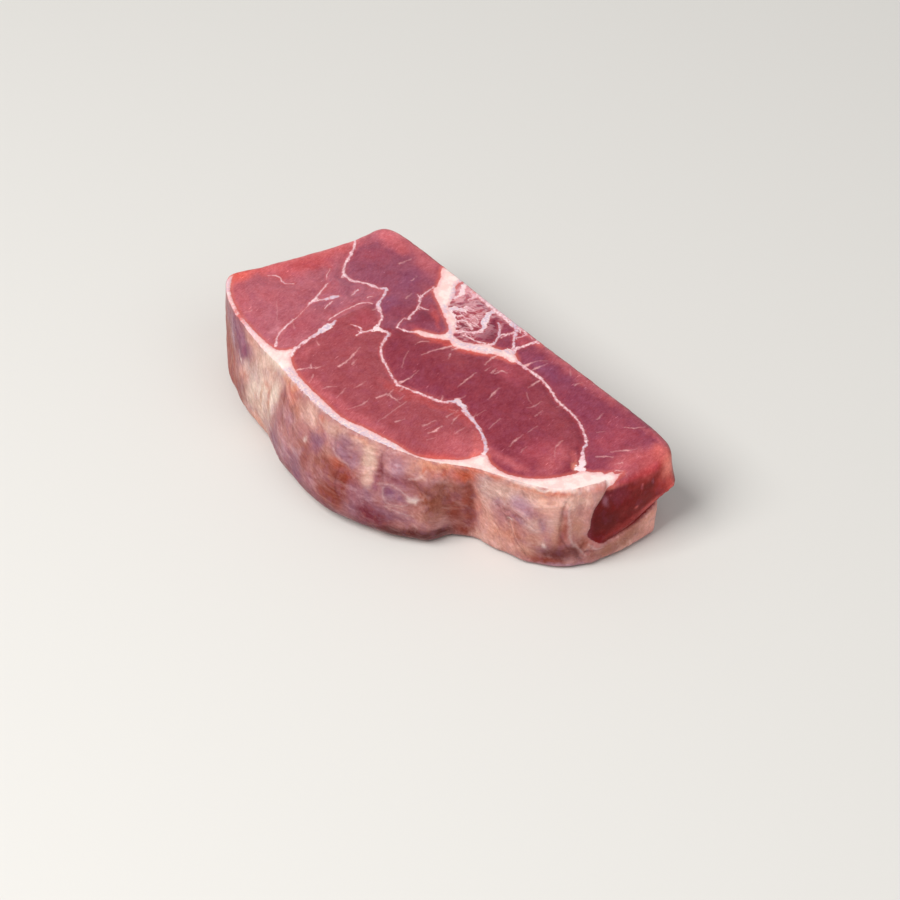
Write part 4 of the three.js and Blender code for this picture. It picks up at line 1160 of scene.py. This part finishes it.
vein = ramp(maths("ABSOLUTE", maths("SUBTRACT", marbling, 0.5)), 0.01, 0.09, 0.5, 0.0)
in_marbled_part = stored("marbled")
marbled_pink = maths("MULTIPLY", in_marbled_part, ramp(grain(3.2, 2), 0.46, 0.64, 0.0, 0.18))
lean_colour = mixed(marbled_pink, lean_colour, colour(*MARBLED_PINK))
lean_colour = mixed(maths("MULTIPLY", in_marbled_part, vein), lean_colour, colour(*MARBLED_VEIN))
lean_colour = mixed(maths("MULTIPLY", seam_halo, 0.28), lean_colour, colour(*BESIDE_SEAM))
halo_share = maths("MULTIPLY", fat_halo, maths("SUBTRACT", 0.5, maths("MULTIPLY", in_marbled_part, 0.4)))
lean_colour = mixed(halo_share, lean_colour, colour(*BESIDE_FAT))

# Fat: white with a breath of pink, pinker at its thin edge, lilac where it is a thin membrane.
FAT_WHITE, FAT_PINK, FAT_THIN = (251, 230, 226), (244, 206, 202), (240, 184, 186)
SEAM_WHITE, SEAM_PINK, SEAM_THICK = (248, 214, 219), (222, 166, 180), (250, 226, 228)
FAT_MEMBRANE, SEAM_MEMBRANE = (214, 188, 206), (206, 188, 208)
fat_colour = mixed(ramp(grain(3.4, 3), 0.40, 0.62, 0.0, 0.8), colour(*FAT_WHITE), colour(*FAT_PINK))
thin_share = maths("MULTIPLY", fat_margin, ramp(grain(1.6, 3), 0.3, 0.62, 0.35, 1.0))
fat_colour = mixed(thin_share, fat_colour, colour(*FAT_THIN))
membrane_mix = maths("MULTIPLY", stored("membrane"), ramp(grain(1.0, 3), 0.36, 0.60, 0.0, 0.85))
fat_colour = mixed(membrane_mix, fat_colour, colour(*FAT_MEMBRANE))
seam_colour = mixed(ramp(grain(1.5, 2), 0.4, 0.6, 0.0, 0.8), colour(*SEAM_WHITE), colour(*SEAM_PINK))
seam_colour = mixed(maths("MULTIPLY", seam_solid, 0.8), seam_colour, colour(*SEAM_THICK))
seam_colour = mixed(membrane_mix, seam_colour, colour(*SEAM_MEMBRANE))
fleck_colour = colour(230, 172, 174)

# Skin: the painted patches, broken up by streaks that run down round the side, and thin lines: fine
# veins, painted shade in the creases of the folds, and painted highlights and glints.
FILM_WHITE, SKIN_CORAL, SKIN_LILAC = (236, 214, 214), (200, 118, 104), (150, 106, 134)
DARK_LINE, PALE_LINE = (98, 46, 50), (240, 216, 216)
streaks = grain(3.0, 4, longer=(1, 2.0, 1), on_skin=True)
fine_streaks = grain(1.1, 4, longer=(1, 1.9, 1), on_skin=True)
skin_colour = stored("skin_tint", "Color")
fine_tone = maths("ADD", either_side(fine_streaks, 1.1), either_side(grain(0.9, 3), 0.6))
skin_tone = maths("ADD", either_side(streaks, 0.9), fine_tone)
skin_colour = shaded(skin_colour, maths("MULTIPLY", skin_tone, stored("skin_grain")))
film = ramp(grain(4.6, 5, longer=(1, 1.5, 1), on_skin=True, roughness=0.6), 0.50, 0.66)
skin_colour = shaded(skin_colour, maths("MULTIPLY", film, 0.28))
skin_colour = mixed(maths("MULTIPLY", film, 0.08), skin_colour, colour(*FILM_WHITE))
skin_colour = mixed(ramp(grain(2.6, 3), 0.52, 0.70, 0.0, 0.16), skin_colour, colour(*SKIN_CORAL))
skin_colour = mixed(ramp(grain(4.4, 4), 0.52, 0.36, 0.0, 0.18), skin_colour, colour(*SKIN_LILAC))
for line, strength, line_colour in ((dark, 0.45, DARK_LINE), (pale, 0.3, PALE_LINE)):
    strength = maths("MULTIPLY", line_share(line, 0.7), maths("MULTIPLY", patchy, strength))
    skin_colour = mixed(strength, skin_colour, colour(*line_colour))

surface_colour = mixed(fleck_share, lean_colour, fleck_colour)
surface_colour = mixed(seam_share, surface_colour, seam_colour)
surface_colour = mixed(fat_share, surface_colour, fat_colour)
surface_colour = mixed(skin_share, surface_colour, skin_colour)

white_share = maths("MAXIMUM", fat_share, seam_share)
dullness = ramp(grain(3.0, 3), 0.3, 0.7, 0.30, 0.46)
dullness = maths("ADD", dullness, maths("MULTIPLY", white_share, 0.10))
dullness = maths("SUBTRACT", dullness, maths("MULTIPLY", skin_share, 0.06))

pits = maths("ADD", maths("MULTIPLY", fibre, 0.5), maths("MULTIPLY", grain(0.35, 2), 0.35))
wrinkles = maths("ADD", maths("MULTIPLY", fine_streaks, 0.8), maths("MULTIPLY", grain(0.7, 3), 0.5))
bumps = add("ShaderNodeMix", {0: skin_share, 2: pits, 3: wrinkles}, data_type="FLOAT").outputs[0]
bent = add("ShaderNodeBump", {"Height": bumps, "Strength": 0.4, "Distance": 0.4 * MM}).outputs[0]
finish = add("ShaderNodeBsdfPrincipled", {
    "Base Color": surface_colour, "Roughness": dullness, "Normal": bent,
    "IOR": 1.4, "Specular IOR Level": 0.2, "Subsurface Weight": 0.2, "Subsurface Scale": 0.0006,
    "Subsurface Radius": (1.0, 0.35, 0.25), "Coat Weight": 0.06, "Coat Roughness": 0.18, "Coat IOR": 1.33,
})
add("ShaderNodeOutputMaterial", {"Surface": finish.outputs[0]})
slice_mesh.materials.append(meat)

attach(beef_slice, "root")
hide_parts("beef_shank")


# The stage
# A plain pale floor, a large soft light from the upper left and a weak fill, as in a small studio.

FLOOR_HALF = 3.0
floor_mesh = bpy.data.meshes.new("floor")
floor_corners = [(FLOOR_HALF * x, FLOOR_HALF * y, 0) for x, y in ((-1, -1), (1, -1), (1, 1), (-1, 1))]
floor_mesh.from_pydata(floor_corners, [], [(0, 1, 2, 3)])
floor = bpy.data.objects.new("floor", floor_mesh)
bpy.context.collection.objects.link(floor)
floor_paint = bpy.data.materials.new("pale_floor")
floor_paint.use_nodes = True
floor_finish = floor_paint.node_tree.nodes["Principled BSDF"]
floor_finish.inputs["Base Color"].default_value = (0.66, 0.65, 0.63, 1)
floor_finish.inputs["Roughness"].default_value = 0.7
floor_mesh.materials.append(floor_paint)

world = bpy.data.worlds.new("studio")
bpy.context.scene.world = world
world.use_nodes = True
world.node_tree.nodes["Background"].inputs["Color"].default_value = (1.0, 0.99, 0.97, 1)
world.node_tree.nodes["Background"].inputs["Strength"].default_value = 0.40

# The camera: where it looks, and the way back from there to it, as an azimuth and an elevation.
CAMERA_TARGET = Vector((14.2, 3.95, 7.9)) * MM
CAMERA_AZIMUTH, CAMERA_ELEVATION, CAMERA_ROLL = 52.0, 42.03, -1.41
CAMERA_DISTANCE, CAMERA_LENS = 1.344, 146.6


def away(azimuth, elevation):
    """The way from the slice towards a viewer or a light."""
    a, e = math.radians(azimuth), math.radians(elevation)
    return Vector((math.sin(a) * math.cos(e), -math.cos(a) * math.cos(e), math.sin(e)))


def facing(place, target, roll=0.0):
    """A pose at a place, looking at a target, turned by roll degrees about the line of sight."""
    turned = (target - place).to_track_quat("-Z", "Y").to_matrix().to_4x4()
    return Matrix.Translation(place) @ turned @ Matrix.Rotation(math.radians(roll), 4, "Z")


def soft_light(name, azimuth, elevation, distance, size, power, warmth=(1, 1, 1)):
    """A square studio light, aimed at the slice."""
    lamp = bpy.data.lights.new(name, "AREA")
    lamp.size = size
    lamp.energy = power
    lamp.color = warmth
    light = bpy.data.objects.new(name, lamp)
    light.matrix_world = facing(away(azimuth, elevation) * distance, Vector((0, 0, 0)))
    bpy.context.collection.objects.link(light)


soft_light("key", azimuth=-5, elevation=55, distance=1.6, size=1.0, power=26.5, warmth=(1.0, 0.985, 0.96))
soft_light("fill", azimuth=100, elevation=50, distance=2.0, size=1.4, power=6)

camera_data = bpy.data.cameras.new("camera")
camera_data.lens = CAMERA_LENS
camera_data.sensor_width = 36
camera_data.clip_end = 20
camera = bpy.data.objects.new("camera", camera_data)
camera_place = CAMERA_TARGET + away(CAMERA_AZIMUTH, CAMERA_ELEVATION) * CAMERA_DISTANCE
camera.matrix_world = facing(camera_place, CAMERA_TARGET, CAMERA_ROLL)
bpy.context.collection.objects.link(camera)
bpy.context.scene.camera = camera
bpy.context.scene.view_settings.view_transform = "Standard"
